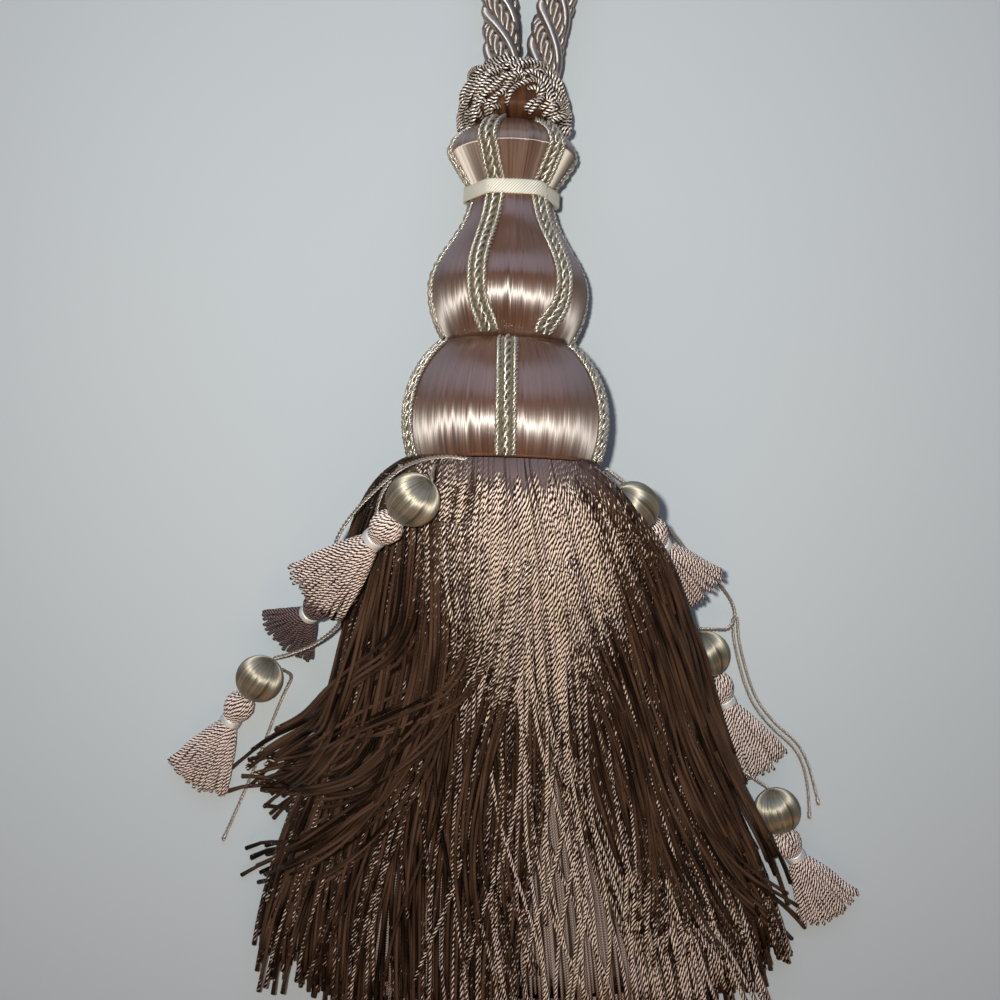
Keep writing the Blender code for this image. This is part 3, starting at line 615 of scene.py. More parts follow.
def tubes(name, lines, radius, sides, finish, nodes, lights_and_tints=None):
    """Many closed round tubes as one mesh.  radius is one number, or one or an array for each line."""
    curve = bpy.data.curves.new(name, "CURVE")
    curve.dimensions = "3D"
    curve.bevel_depth = MILLIMETRE
    curve.bevel_resolution = sides // 2 - 2
    curve.use_fill_caps = True
    for index, line in enumerate(lines):
        spline = curve.splines.new("POLY")
        spline.points.add(len(line) - 1)
        places = np.ones((len(line), 4))
        places[:, :3] = line * MILLIMETRE
        spline.points.foreach_set("co", places.ravel())
        thickness = radius if np.isscalar(radius) else radius[index]
        spline.points.foreach_set("radius", np.broadcast_to(thickness, len(line)).astype(float))
    carrier = add_object(name, curve)
    shape = carrier.evaluated_get(bpy.context.evaluated_depsgraph_get())
    mesh = bpy.data.meshes.new_from_object(shape)
    bpy.data.objects.remove(carrier, do_unlink=True)
    bpy.data.curves.remove(curve)
    map_tubes(mesh, lines, sides)
    # light_and_tint, on the skirt's strands, is each strand's painted light and shade with its random tint
    if lights_and_tints is not None:
        body = np.repeat(np.concatenate(lights_and_tints), sides)
        caps = np.repeat([light_and_tint[0] for light_and_tint in lights_and_tints], 2 * sides)
        values = np.concatenate((np.resize(caps, len(mesh.vertices) - len(body)), body))
        mesh.attributes.new("light_and_tint", "FLOAT", "POINT").data.foreach_set("value", values)
    bm = bmesh.new()
    bm.from_mesh(mesh)
    bmesh.ops.remove_doubles(bm, verts=bm.verts, dist=0.000001)
    bm.to_mesh(mesh)
    bm.free()
    mesh.name = name
    return finish_piece(name, mesh, finish, nodes)


TUBE_NUMBERS = 97            # tubes are numbered up to this, and then from 0 again


def map_tubes(mesh, lines, sides):
    """Turn Blender's map of each tube, along by around, into around by millimetres along.

    Each tube has a whole number of its own added to the first, so that a finish can tell them apart.
    """
    layer = mesh.uv_layers[0]
    layer.name = "UVMap"
    places = np.empty(2 * len(mesh.loops))
    layer.data.foreach_get("uv", places)
    places = places.reshape(-1, 2)
    loops = np.array([4 * sides * (len(line) - 1) for line in lines])
    caps = len(mesh.loops) - loops.sum()
    length = np.repeat([lengths_along(line)[-1] for line in lines], loops)
    start = np.repeat(RANDOM.uniform(0.0, 20.0, len(lines)), loops)
    number = np.repeat(np.arange(len(lines)) % TUBE_NUMBERS, loops)
    body = places[caps:].copy()
    places[caps:, 0] = body[:, 1] * 0.9998 + 0.0001 + number
    places[caps:, 1] = body[:, 0] * length + start
    layer.data.foreach_set("uv", places.ravel())


def lay_on_table(piece):
    """Press a piece flat where it would reach below the table."""
    places = np.empty(3 * len(piece.data.vertices))
    piece.data.vertices.foreach_get("co", places)
    places[2::3] = np.maximum(places[2::3], 0.0)
    piece.data.vertices.foreach_set("co", places)


def kept_up(line, radius):
    """A line raised wherever a tube along it would reach below the table."""
    line[:, 2] = np.maximum(line[:, 2], radius)
    return line


def head_points(radius, bearing, station):
    """World millimetres of points given round the head's axis, bearings in degrees from the front."""
    radius, bearing, station = np.broadcast_arrays(radius, np.radians(bearing), station)
    local = np.stack((radius * np.sin(bearing), -radius * np.cos(bearing), station), axis=-1)
    turn = np.array(HEAD.to_3x3())
    return local @ turn.T + np.array(HEAD.translation)


def map_turns(bm, distance, to_axis):
    """Map a piece round its axis: the turn in U, the distance of each vertex in V, and no face torn."""
    layer = bm.loops.layers.uv.new("UVMap")
    for face in bm.faces:
        middle = to_axis @ face.calc_center_median()
        centre_turn = math.atan2(middle.x, -middle.y) / math.tau
        for loop in face.loops:
            spot = to_axis @ loop.vert.co
            turn = centre_turn
            if math.hypot(spot.x, spot.y) > 0.001:
                turn = math.atan2(spot.x, -spot.y) / math.tau
                turn += round(centre_turn - turn)
            loop[layer].uv = (turn, distance(loop.vert))


def spun(name, profile, place, steps, finish, nodes):
    """A profile of (radius, station) pairs turned about its own Z."""
    bm = bmesh.new()
    travelled = bm.verts.layers.float.new("travelled")
    spots = [bm.verts.new((radius, 0.0, station)) for radius, station in profile]
    for spot, distance in zip(spots, lengths_along(np.array(profile, float))):
        spot[travelled] = distance
    edges = [bm.edges.new(pair) for pair in zip(spots, spots[1:])]
    bmesh.ops.spin(bm, geom=spots + edges, cent=(0.0, 0.0, 0.0), axis=(0.0, 0.0, 1.0), angle=math.tau,
                   steps=steps, use_merge=True, use_duplicate=False, dvec=(0.0, 0.0, 0.0))
    bmesh.ops.remove_doubles(bm, verts=bm.verts, dist=0.0005)
    bmesh.ops.recalc_face_normals(bm, faces=bm.faces)
    map_turns(bm, lambda vert: vert[travelled], Matrix())
    bmesh.ops.transform(bm, matrix=place, verts=bm.verts)
    for spot in bm.verts:
        spot.co.z = max(spot.co.z, 0.0)
    return piece_from_bmesh(name, bm, finish, nodes)


def wrapped_sheet(name, surface, columns, rows, finish, nodes):
    """A closed sleeve: surface(turn, share) gives points for turn 0 to 1 round it and share 0 to 1 along."""
    bm = bmesh.new()
    bmesh.ops.create_grid(bm, x_segments=columns, y_segments=rows, size=1.0, calc_uvs=False)
    layer = bm.loops.layers.uv.new("UVMap")
    for face in bm.faces:
        for loop in face.loops:
            loop[layer].uv = (0.5 * loop.vert.co.x + 0.5, 0.5 * loop.vert.co.y + 0.5)
    spots = np.array([vert.co[:] for vert in bm.verts])
    places = surface(0.5 * spots[:, 0] + 0.5, 0.5 * spots[:, 1] + 0.5)
    for vert, place in zip(bm.verts, places):
        vert.co = place
    bmesh.ops.remove_doubles(bm, verts=bm.verts, dist=0.001)
    bmesh.ops.holes_fill(bm, edges=bm.edges, sides=0)
    bmesh.ops.recalc_face_normals(bm, faces=bm.faces)
    return piece_from_bmesh(name, bm, finish, nodes)


# ---------------------------------------------------------------- cords

EMBRACE_PITCH = -34.0
EMBRACE_SATIN_LAY = 3.75     # from the cord's middle to the middle of each smooth strand
EMBRACE_SATIN = 1.4
EMBRACE_PLIED_LAY = 3.15     # the same for the textured strands, which are thicker
EMBRACE_PLY = 0.95
EMBRACE_PLY_LAY = 1.15
EMBRACE_PLY_PITCH = 7.2
EMBRACE_CORE = 2.6
THIN_CORD_STEP = 0.4
STRING_PITCH = 2.6
TAIL_PITCH = 2.4
PLY_FULLNESS = 1.12          # plies press into each other, so they are thicker than a quarter of their cord
KNOT_SWELL = 0.9
KNOT_PLACE = 1.2             # from the tail's end
KNOT_LENGTH = 0.9


def make_embrace_cord():
    """Six strands, S laid: smooth satin ones between three-ply textured ones, round a dark core."""
    def part(kind, lines, radius, sides, finish):
        return tubes(f"embrace_{kind}", lines, radius, sides, finish, ["embrace_cord"])

    strands = laid_plies(smooth_route(EMBRACE_ROUTE, 1.5), UPRIGHT, 6, EMBRACE_SATIN_LAY, EMBRACE_PITCH)
    smooth = part("satin_strands", strands[0::2], EMBRACE_SATIN, 10, "embrace_satin")
    middle = smooth_route(EMBRACE_ROUTE, 0.9)
    plies = []
    for strand in laid_plies(middle, UPRIGHT, 6, EMBRACE_PLIED_LAY, EMBRACE_PITCH)[1::2]:
        plies += laid_plies(strand, unit(strand - middle), 3, EMBRACE_PLY_LAY, EMBRACE_PLY_PITCH)
    textured = part("plied_strands", plies, EMBRACE_PLY, 8, "embrace_ply")
    core = part("core", [smooth_route(EMBRACE_ROUTE, 4.0)], EMBRACE_CORE, 8, "cord_core")


def make_thin_cord(name, route, diameter, pitch, knot_swell):
    """A cord of two plies, which swell into a small knot at its end if it has one."""
    lines = laid_plies(smooth_route(route, THIN_CORD_STEP), UPRIGHT, 2, diameter / 4, pitch)
    radii = []
    for line in lines:
        left = lengths_along(line)[-1] - lengths_along(line)
        swell = knot_swell * np.exp(-((left - KNOT_PLACE) / KNOT_LENGTH) ** 2)
        radii.append(diameter / 4 * (PLY_FULLNESS + swell))
    return tubes(f"{name}_plies", lines, radii, 6, "fine_cord", [name])


def make_thin_cords():
    for name, route in STRING_ROUTES.items():
        piece = make_thin_cord(name, route, STRING_DIAMETER, STRING_PITCH, 0.0)
    for name, route in TAIL_ROUTES.items():
        piece = make_thin_cord(name, route, TAIL_DIAMETER, TAIL_PITCH, KNOT_SWELL)


# ---------------------------------------------------------------- the head

GIMP_LIFT = 0.4              # of the braid's middle above its solid's seat
GIMP_HUG = 0.9               # how much closer the side gimps of pear and cap lie
GIMP_PRESS = 0.95            # how far the neck band presses them in
GIMP_CURL = 0.27             # how far the front ones draw together at the pear's foot
GIMP_STEP = 0.42
GIMP_CORD_LAY = 0.60
GIMP_CORD_PLY = 0.48
GIMP_CORD_PITCH = 5.0
GIMP_FLANK_LAY = 0.40
GIMP_FLANK_PLY = 0.34
GIMP_FLANK_PITCH = 2.6
GIMP_FLANK_OFFSET = 2.05
GIMP_BED = 0.62
GIMP_BED_OFFSETS = (-1.15, 1.15)
GIMP_BED_DEPTH = 0.45
BAND_CORNERS = (-84.0, -27.0, 33.0, 100.0, 160.0, 219.0)
BAND_RADIUS = 12.75
BAND_ROWS = 6
BAND_THICKNESS = 0.8


def arc_radius(radius, offset, reach):
    return radius * np.sqrt(np.maximum(0.0, 1.0 - (offset / reach) ** 2))


def bulb_radius(station):
    return np.where(station > 0.0, arc_radius(BULB_RADIUS, station, BULB_DOME),
                    arc_radius(BULB_RADIUS, station, BULB_BELLY))


def long_radius(station):
    """Radius of the pear and the cap at a station: a belly, a waist-like neck, a ridge and a dome."""
    belly = arc_radius(PEAR_RADIUS, station - PEAR_WIDEST, PEAR_BELLY)
    share = 0.5 + 0.5 * np.cos(np.pi * (station - PEAR_WIDEST) / (NECK - PEAR_WIDEST))
    shoulder = NECK_RADIUS + (PEAR_RADIUS - NECK_RADIUS) * share
    cone = NECK_RADIUS + (CAP_RADIUS - NECK_RADIUS) * (station - BAND_END) / (CAP_RIDGE - BAND_END)
    dome = arc_radius(CAP_RADIUS, station - CAP_RIDGE, CAP_DOME)
    return np.select((station < PEAR_WIDEST, station < NECK, station < BAND_END, station < CAP_RIDGE),
                     (belly, shoulder, NECK_RADIUS, cone), dome)


def make_mould(name, top, bottom, radius_at, rows, finish="satin_floss", ridge=()):
    """A turned mould under floss; a ridge is a station that its rows don't miss."""
    stations = np.unique([*np.linspace(top, bottom, rows), *ridge])[::-1]
    sides = zip(radius_at(stations).tolist(), stations.tolist())
    spun(f"{name}_floss", [(0.0, top), *sides, (0.0, bottom)], HEAD, 120, finish,
         [f"{name}_mould"])


def gimp_lines(bearing, start, end, radius_at):
    """A flat braid of three two-ply cords laid along a mould at one bearing, and its ground under it."""
    stations = np.linspace(start, end, 400)
    on_long = radius_at is long_radius
    pressed = np.exp(-((stations - 0.5 * (BAND_START + BAND_END)) / 3.0) ** 2)
    curl = GIMP_CURL if on_long and abs(bearing) < 60.0 else 0.0
    drawn_in = 1.0 - curl * np.exp(-((stations - start) / 5.0) ** 2)
    hugging = GIMP_HUG if on_long and 60.0 < abs(bearing) < 120.0 else 0.0
    radius = radius_at(stations) + GIMP_SEAT + GIMP_LIFT - hugging - GIMP_PRESS * pressed
    middle = head_points(radius, bearing * drawn_in, stations)
    outward = unit(middle - head_points(0.0, bearing, stations))
    wanted = round(lengths_along(middle)[-1] / GIMP_STEP)
    keep = np.linspace(0, len(stations) - 1, wanted).astype(int)
    middle, outward = resample(middle, wanted), outward[keep]
    side = unit(np.cross(np.gradient(middle, axis=0), outward))
    bed = [middle + across * side - GIMP_BED_DEPTH * outward for across in GIMP_BED_OFFSETS]
    lines = laid_plies(middle, outward, 2, GIMP_CORD_LAY, GIMP_CORD_PITCH)
    for offset, start_turn in ((-GIMP_FLANK_OFFSET, 0.0), (GIMP_FLANK_OFFSET, 0.3)):
        lines += laid_plies(middle + offset * side, outward, 2, GIMP_FLANK_LAY, GIMP_FLANK_PITCH, start_turn)
    return lines, bed


def make_gimps(kind, bearings, start, end, radius_at):
    """The gimps over one or more moulds, pressed flat where they come between head and table."""
    radii = [GIMP_CORD_PLY] * 2 + [GIMP_FLANK_PLY] * 4
    for number, bearing in enumerate(bearings, start=1):
        name = f"{kind}_gimp_{number}"
        lines, bed = gimp_lines(bearing, start, end, radius_at)
        lay_on_table(tubes(f"{name}_braid", lines, radii, 4, "gimp_thread", [name]))
        lay_on_table(tubes(f"{name}_ground", bed, GIMP_BED, 4, "gimp_ground", [name]))


def make_neck_band():
    """A flat binding pulled over the six gimps, so it is six-sided with rounded corners."""
    bearings = np.array([corner + off for corner in BAND_CORNERS for off in (-5.0, -2.5, 0.0, 2.5, 5.0)])
    bm = bmesh.new()
    low = [bm.verts.new(point) for point in head_points(BAND_RADIUS, bearings, BAND_START)]
    edges = [bm.edges.new((low[i - 1], low[i])) for i in range(len(low))]
    rise = head_points(0.0, 0.0, BAND_END) - head_points(0.0, 0.0, BAND_START)
    for _ in range(BAND_ROWS):
        out = bmesh.ops.extrude_edge_only(bm, edges=edges)["geom"]
        moved = [item for item in out if isinstance(item, bmesh.types.BMVert)]
        edges = [item for item in out if isinstance(item, bmesh.types.BMEdge)]
        bmesh.ops.translate(bm, verts=moved, vec=Vector(rise / BAND_ROWS))
    bmesh.ops.recalc_face_normals(bm, faces=bm.faces)
    to_head = HEAD.inverted()
    map_turns(bm, lambda vert: (to_head @ vert.co).z - BAND_START, to_head)
    bmesh.ops.solidify(bm, geom=bm.faces[:], thickness=BAND_THICKNESS)
    bmesh.ops.recalc_face_normals(bm, faces=bm.faces)
    piece_from_bmesh("neck_binding", bm, "binding", ["neck_band"])


# ---------------------------------------------------------------- the ruff

RUFF_CORD = 1.3
RUFF_STEP = 0.7
RUFF_PROFILE = (             # station, radius
    (75.5, 13.2), (78.5, 13.7), (81.5, 13.8), (86.5, 13.0), (91.0, 11.2), (93.9, 8.4),
)
RUFF_FLOSS_START = 77.4
RUFF_FLOSS_END = 93.0
RUFF_FLOSS_DEPTH = 0.9
RUFF_ARCHES = 10
RUFF_FOOT = 77.0
RUFF_COILS = 3
RUFF_KNOT = (72.0, 76.6)
RUFF_KNOT_POINTS = 24
RUFF_CORDS = (               # bearing and station along each cord of the front, laid in this order
    ((-30, 92.1), (-42, 91.1), (-53, 89.7), (-61, 88.1), (-70, 85.7)),
    ((-22, 91.3), (-33, 89.5), (-44, 87.8), (-55, 86.5), (-67, 85), (-82, 82.9), (-90, 80.6)),
    ((-21, 89.7), (-30, 88.5), (-39, 86.4), (-49, 84.4), (-57, 82.6), (-70, 80.2), (-90, 78)),
    ((-22, 87.7), (-29, 86.8), (-39, 84.7), (-45, 83.3), (-51, 80.5), (-61, 79.2), (-74, 77.3)),
    ((-17, 85.7), (-25, 83.8), (-33, 82.6), (-39, 80.8), (-44, 78.3), (-49, 76.5), (-59, 75.8)),
    ((-42, 77.6), (-39, 80.1), (-30, 82.9), (-20, 85.4), (-12, 86.9), (-4, 87.5), (3, 86.2)),
    ((-18, 89), (-12, 87.9), (-4, 88.2), (5, 88.5), (12, 86.9)),
    ((-10, 80.3), (-5, 82.6), (2, 84.7), (11, 85.8), (19, 86.7), (27, 86.5), (30, 84.5), (28, 81.6)),
    ((7, 88.2), (14, 88.9), (23, 88.7), (31, 87.2), (37, 84.7), (40, 81.8), (43, 78.9)),
    ((23, 90.7), (32, 89.5), (40, 87.4), (46, 84.6), (52, 81.8), (54, 78.6)),
    ((32, 91.2), (43, 90.4), (54, 88.5), (60, 86.1), (66, 83), (66, 80.3)),
    ((37, 89), (46, 86.6), (56, 84.3), (69, 82.1), (60, 79.5), (50, 77.8)),
    ((17, 78.4), (24, 80.5), (32, 83), (38, 84.1), (48, 83.7)),
    ((-30, 92.1), (-22, 92.6), (-13, 91.9), (-5, 90.2), (3, 90.5), (8, 91.8)),
    ((-15, 91.9), (-7, 92.8), (0, 92.6), (6, 93.5)),
    ((9, 90.2), (12, 91.9), (18, 93.1), (26, 92.7), (30, 90.8), (26, 89.1)),
    ((-22, 90.3), (-13, 89.9), (-5, 91.2), (5, 89.2), (9, 87.6)),
    ((30, 92.1), (38, 91.6), (48, 90.3)),
    ((-26, 79.2), (-20, 81.6), (-12, 83.8), (-5, 85.6), (1, 86.6)),
    ((-34, 78), (-29, 80), (-21, 81.9), (-14, 83), (-9, 82.2)),
    ((-36, 91.5), (-48, 90.3), (-60, 88.4), (-72, 84.8), (-84, 80.2)),
    ((-27, 86), (-36, 83.8), (-44, 81.6), (-52, 78.6), (-60, 77.4)),
    ((-24, 90.6), (-36, 89), (-50, 86.2), (-62, 83), (-76, 80)),
    ((-34, 92.8), (-24, 93.2), (-14, 93.3), (-4, 92.2)),
    ((10, 93.4), (20, 93.6), (30, 93.4), (42, 92.6), (54, 90.8)),
    ((-6, 89), (2, 90.8), (10, 90.6), (18, 91.2)),
    ((20, 88.6), (28, 89.2), (36, 90.2), (46, 89.2)),
    ((12, 79.2), (17, 80.6), (23, 81.2), (29, 80.2)),
    ((28, 83.2), (35, 83), (42, 80.9), (46, 78.2)),
    ((36, 78.4), (42, 80.6), (50, 82), (58, 81.2), (64, 78.8)),
    ((46, 85.9), (55, 84.4), (63, 82), (72, 79.6)),
    ((50, 91.6), (60, 89.4), (70, 86.2), (78, 82.2), (84, 79.2)),
    ((58, 79.6), (68, 80.2), (78, 78)),
    ((-50, 78.2), (-42, 80.6), (-33, 81.4), (-26, 80.2)),
    ((-56, 81), (-46, 83.4), (-36, 85.6), (-27, 88.2)),
    ((-28, 77.6), (-24, 79), (-17, 79.6)),
    ((38, 86), (46, 88), (56, 87.4), (66, 84.6)),
    ((32, 80), (38, 81.6), (45, 81.2), (50, 79.4)),
    ((-14, 84.8), (-6, 86.2), (2, 87.4), (10, 87.2)),
    ((16, 84.9), (24, 84.8), (31, 82.4)),
)


def ruff_radius(station):
    stations, radii = zip(*RUFF_PROFILE)
    return np.interp(station, stations, radii)


def ruff_routes():
    """Routes of the looped cords: listed one by one at the front, in loose arches behind, and a knot at one
    side.
    """
    routes = []
    for order, cord in enumerate(RUFF_CORDS):
        bearing, station = np.array(cord, dtype=float).T
        lift = 0.1 + 0.5 * (order % 3) + 0.25 * np.sin(np.arange(len(cord)) * 2.1 + order)
        lift[[0, -1]] = -1.2
        routes.append(head_points(ruff_radius(station) + lift, bearing, station))
    swing = np.linspace(-1.0, 1.0, 9)
    for arch in range(RUFF_ARCHES):
        middle = 98.0 + 18.0 * arch + RANDOM.uniform(-4.0, 4.0)
        for nest in range(3):
            half = (20.0 - 5.5 * nest) * RANDOM.uniform(0.85, 1.15)
            crown = RANDOM.uniform(86.0, 91.0) - 2.0 * nest
            station = RUFF_FOOT + (crown - RUFF_FOOT) * np.sqrt(1.0 - swing ** 2)
            station = station + RANDOM.uniform(-0.4, 0.4, 9)
            radius = ruff_radius(station) + 0.3 + 0.3 * nest
            routes.append(head_points(radius, middle + half * swing, station))
    turn = np.linspace(0.0, 2.6, RUFF_KNOT_POINTS)
    close = np.linspace(1.0, 0.35, RUFF_KNOT_POINTS)
    bearing = RUFF_KNOT[0] + 6.0 * (np.cos(math.tau * turn) * close)
    station = RUFF_KNOT[1] + 1.5 * (np.sin(math.tau * turn) * close)
    routes.append(head_points(ruff_radius(station) + 0.3 + 0.7 * turn, bearing, station))
    return routes


def make_ruff():
    """Loops of two-ply cord round the top of the cap, drawn close under the legs, with floss inside."""
    def floss_body(turn, share):
        station = RUFF_FLOSS_START + (RUFF_FLOSS_END - RUFF_FLOSS_START) * share
        rounded = np.sqrt(np.maximum(1.0 - (2.0 * share - 1.0) ** 6, 0.1))
        return head_points((ruff_radius(station) - RUFF_FLOSS_DEPTH) * rounded, 360.0 * turn, station)

    wrapped_sheet("ruff_floss", floss_body, 72, 36, "ruff_floss", ["loop_ruff"])
    lines = [smooth_route(route, RUFF_STEP) for route in ruff_routes()]
    for coil in range(RUFF_COILS):
        bearings = np.linspace(0.0, 360.0, 90) + RANDOM.uniform(0.0, 360.0)
        wave = 0.7 * np.sin(np.radians(bearings) * 4.0 + 2.0 * coil)
        ring = head_points(12.0 - 1.3 * coil + 0.4 * wave, bearings, 91.0 + 0.9 * coil + wave)
        lines.append(resample(ring, round(lengths_along(ring)[-1] / RUFF_STEP)))
    lay_on_table(tubes("ruff_loops", lines, 0.5 * RUFF_CORD, 8, "ruff_thread", ["loop_ruff"]))


# ---------------------------------------------------------------- the skirt

STRAND_RADIUS = 0.54
STRAND_POINTS = 28
SHARES = np.linspace(0.0, 1.0, STRAND_POINTS)
FRAYED = 0.25                # how much wider each cut end is
PARTING = 11.25              # bearing of the front parting, where the inner skirt shows
PARTING_HALF = 13.0
PARTING_START = 62.0         # below the rim
SKIRT_LAYERS = (             # name, strands, locks, inset, spread of the locks' turns, seed
    ("skirt_strands_top", 190, 46, 0.5, 3.6, 3),
    ("skirt_strands_second", 230, 40, 1.6, 5.0, 5),
    ("skirt_strands_third", 280, 34, 2.5, 5.6, 7),
    ("skirt_strands_under", 280, 30, 3.2, 4.4, 11),
)
LAYER_SHADE = 0.16           # painted shade: how much darker a layer is for each millimetre deeper
LOCK_DRAW = (0.15, 0.6)      # how close a lock's strands are drawn together
LOCK_LIFT = (-0.4, 1.3)
LOCK_ENDS = (-7.0, 4.0)      # how far its ends reach past the hem
LOCK_SWAY = (0.7, 1.4)       # bends from rim to hem
LOCK_TINT = 0.05
STRAND_TINT = 0.2
STRAND_ENDS = 1.8
STRAND_WANDER = 1.8          # degrees
# Painted light on the front of the skirt, by distance below the rim: its reach to either side, its middle
# and its peak
LIGHT_SPREAD = (             # below the rim, and how far to either side the painted light on the front reaches there
    (0.0, 52.0), (10.0, 46.0), (30.0, 33.0), (55.0, 20.0), (90.0, 19.0), (130.0, 32.0), (165.0, 62.0),
)
LIGHT_MIDDLE = ((0.0, 4.0), (25.0, 7.0), (60.0, 6.0), (110.0, 17.0), (165.0, 46.0))
LIGHT_PEAK = (
    (0.0, 0.42), (10.0, 0.66), (24.0, 1.0), (55.0, 0.95), (75.0, 0.46), (100.0, 0.42), (120.0, 0.66),
    (165.0, 1.0),
)
STRAYS = 130
STRAY_SEED = 31
STRAY_LIFT = 0.9
INNER_STRAND = 0.46
INNER_SPACING = 1.15         # degrees
INNER_INSETS = (4.1, 4.8)
INNER_CORE_INSET = 5.6
LAID_LOCKS = (               # strands, widths at the start, half way and at the end, thickness, route
    (16, 14, 12, 7, 2.4, (
        (-8.7, -26.2), (-8.4, -41.9), (-7, -58.6), (-13.2, -72.1), (-19.7, -76.8), (-29.8, -82.3),
        (-40.3, -87.9), (-49.2, -94.2), (-60.7, -103), (-71.6, -106.2), (-78, -109.5))),
    (18, 12, 10, 5, 2, (
        (-20, -21.9), (-21.5, -37.4), (-24.1, -54.1), (-29, -63.2), (-36.2, -69.6), (-45.3, -78.3),
        (-55.8, -92), (-67.8, -100.1), (-78.8, -108.9))),
    (18, 12, 12, 7, 2.2, (
        (-14.1, -19), (-13.9, -42.2), (-14.9, -64.8), (-18.4, -80.3), (-28.6, -93), (-40.1, -103.5),
        (-51.7, -108.5), (-64.6, -113.5), (-73.8, -112.6), (-81.6, -114.7))),
    (14, 10, 9, 7, 1.8, (
        (-24, -27.4), (-28.2, -49.1), (-32.1, -72.4), (-36.9, -90.3), (-46.1, -102), (-60.4, -109.3),
        (-71.5, -111.4))),
    (16, 10, 12, 9, 1.8, (
        (-18.7, -26.8), (-20.6, -53.7), (-24.8, -77.5), (-34.6, -104.7), (-40.2, -110), (-50.4, -118),
        (-59.5, -124.8), (-70.1, -131), (-79.7, -136))),
    (18, 10, 12, 9, 1.6, (
        (-26.2, -27.7), (-31.3, -49.5), (-36.9, -73.3), (-44.3, -92.2), (-52.9, -104.4), (-64.7, -116.7),
        (-71.7, -123.6))),
    (18, 12, 14, 9, 1.6, (
        (-12.4, -26.4), (-16.8, -59.1), (-24.3, -89.6), (-34.7, -109.2), (-46.7, -123.4), (-58.9, -132.4),
        (-72, -141.2))),
    (16, 8, 10, 6, 1.6, (
        (-27.9, -33), (-34, -55.5), (-41.8, -77.3), (-47.3, -90), (-55.5, -98), (-64.6, -106.2),
        (-72.7, -113.8))),
    (16, 6, 9, 9, 1.4, (
        (35.2, -49.9), (40.4, -73.5), (45.6, -97.6), (55.2, -120), (66.3, -136.6), (79.2, -149.5),
        (88.3, -160.3))),
    (16, 7, 10, 10, 1.4, (
        (24.3, -53.9), (32.1, -78.1), (40.2, -106.1), (48.2, -128.5), (56.2, -148.2), (65.7, -163.3))),
    (12, 8, 8, 10, 1.2, (
        (13.5, -36.7), (20.5, -59.2), (30.9, -83.8), (37.4, -109), (40.6, -134.4), (39.1, -160.4))),
    (12, 8, 8, 10, 1.2, (
        (3.5, -36.4), (-0.1, -64.3), (-6.8, -94.9), (-9.8, -123.7), (-7.1, -153.3))),
)
COVERING_LOCKS = (
    (40, 2, 5, 8, 1.2, (
        (-22.2, -11.4, 40.5), (-26.4, -13.6, 35.5), (-31, -17.4, 30), (-34.4, -21.6, 25.5),
        (-36.8, -26.4, 20.5), (-38.8, -31.6, 15.5), (-40.6, -37.6, 11), (-42.2, -45.5, 7),
        (-44, -54.5, 4.5), (-45.8, -64.5, 3))),
    (36, 2.5, 6, 8, 1.2, (
        (-21.8, -12.3, 41), (-25.4, -15.8, 35), (-30, -19.6, 30.5), (-32.8, -24.6, 26.5), (-35, -30, 22),
        (-37, -36.5, 17), (-38.8, -44, 12), (-41, -54, 7.5), (-43.5, -66, 4))),
    (34, 3.5, 9, 12, 1.2, (
        (17.5, -12.6, 45.8), (21.8, -15.8, 50.8), (27, -21, 55.5), (32, -30, 51), (36.5, -40.5, 43),
        (40.5, -51.5, 35), (45, -64.5, 27), (49, -79, 20), (54, -97, 15.5))),
    (26, 3, 8, 10, 1.2, (
        (21, -12.8, 42.4), (29.5, -23, 53.6), (37, -34, 50), (42, -45, 40), (46.5, -57, 29),
        (51.5, -70, 19), (56, -84, 14.5), (62, -99, 11.5), (68, -112, 11))),
    (30, 3, 9, 12, 1.4, (
        (19.3, -12.6, 44.2), (24, -19, 49.2), (29.5, -28.5, 48.6), (37.5, -46, 39.5), (45, -64, 29),
        (51.5, -82, 19.5), (59, -100, 14.5), (66, -115, 14.6), (73, -129, 11.5), (80, -146, 6.5))),
    (24, 3, 8, 11, 1.2, (
        (16.3, -12.4, 46.6), (20.5, -19, 51.2), (25.5, -29, 50.8), (33, -48, 42.5), (41, -70, 30),
        (48, -92, 21), (57, -113, 15.5), (66.5, -133, 11), (76, -153, 6))),
)


def smooth_step(low, high, value):
    share = np.clip((value - low) / (high - low), 0.0, 1.0)
    return share * share * (3.0 - 2.0 * share)


def skirt_sizes(along):
    """Half width, widest part's height, crest, underside and drift, with the table's corners rounded."""
    reach = np.clip(0.4 * along, 6.0, 14.0)
    shifts = (-1.0, -0.67, -0.33, 0.0, 0.33, 0.67, 1.0)
    return [np.mean([np.interp(along + shift * reach, SKIRT_SECTIONS[:, 0], SKIRT_SECTIONS[:, column])
                     for shift in shifts], axis=0) for column in range(1, 6)]


def skirt_surface(bearing, along, inset):
    """World millimetres on the skirt, inset from its outer face; nothing comes below the table."""
    bearing, along, inset = np.broadcast_arrays(bearing, along, inset)
    rim = head_points(SKIRT_RIM_RADIUS - inset, bearing, SKIRT_RIM_STATION)
    half, widest, crest, underside, drift = skirt_sizes(along)
    sine, cosine = np.sin(np.radians(bearing)), np.cos(np.radians(bearing))
    lift = np.where(cosine > 0.0, crest - inset - widest, widest - underside - inset)
    x = drift + (half - inset) * sine
    z = widest + lift * cosine
    ease = smooth_step(-1.0, 11.0, along)
    x = rim[..., 0] + (x - rim[..., 0]) * ease
    z = rim[..., 2] + (z - rim[..., 2]) * ease
    return np.stack((x, rim[..., 1] - along, np.maximum(z, STRAND_RADIUS + inset)), axis=-1)


def reach_at(bearing):
    return SKIRT_LENGTH - SKIRT_CORNER_CUT * np.abs(np.sin(np.radians(bearing))) ** 3


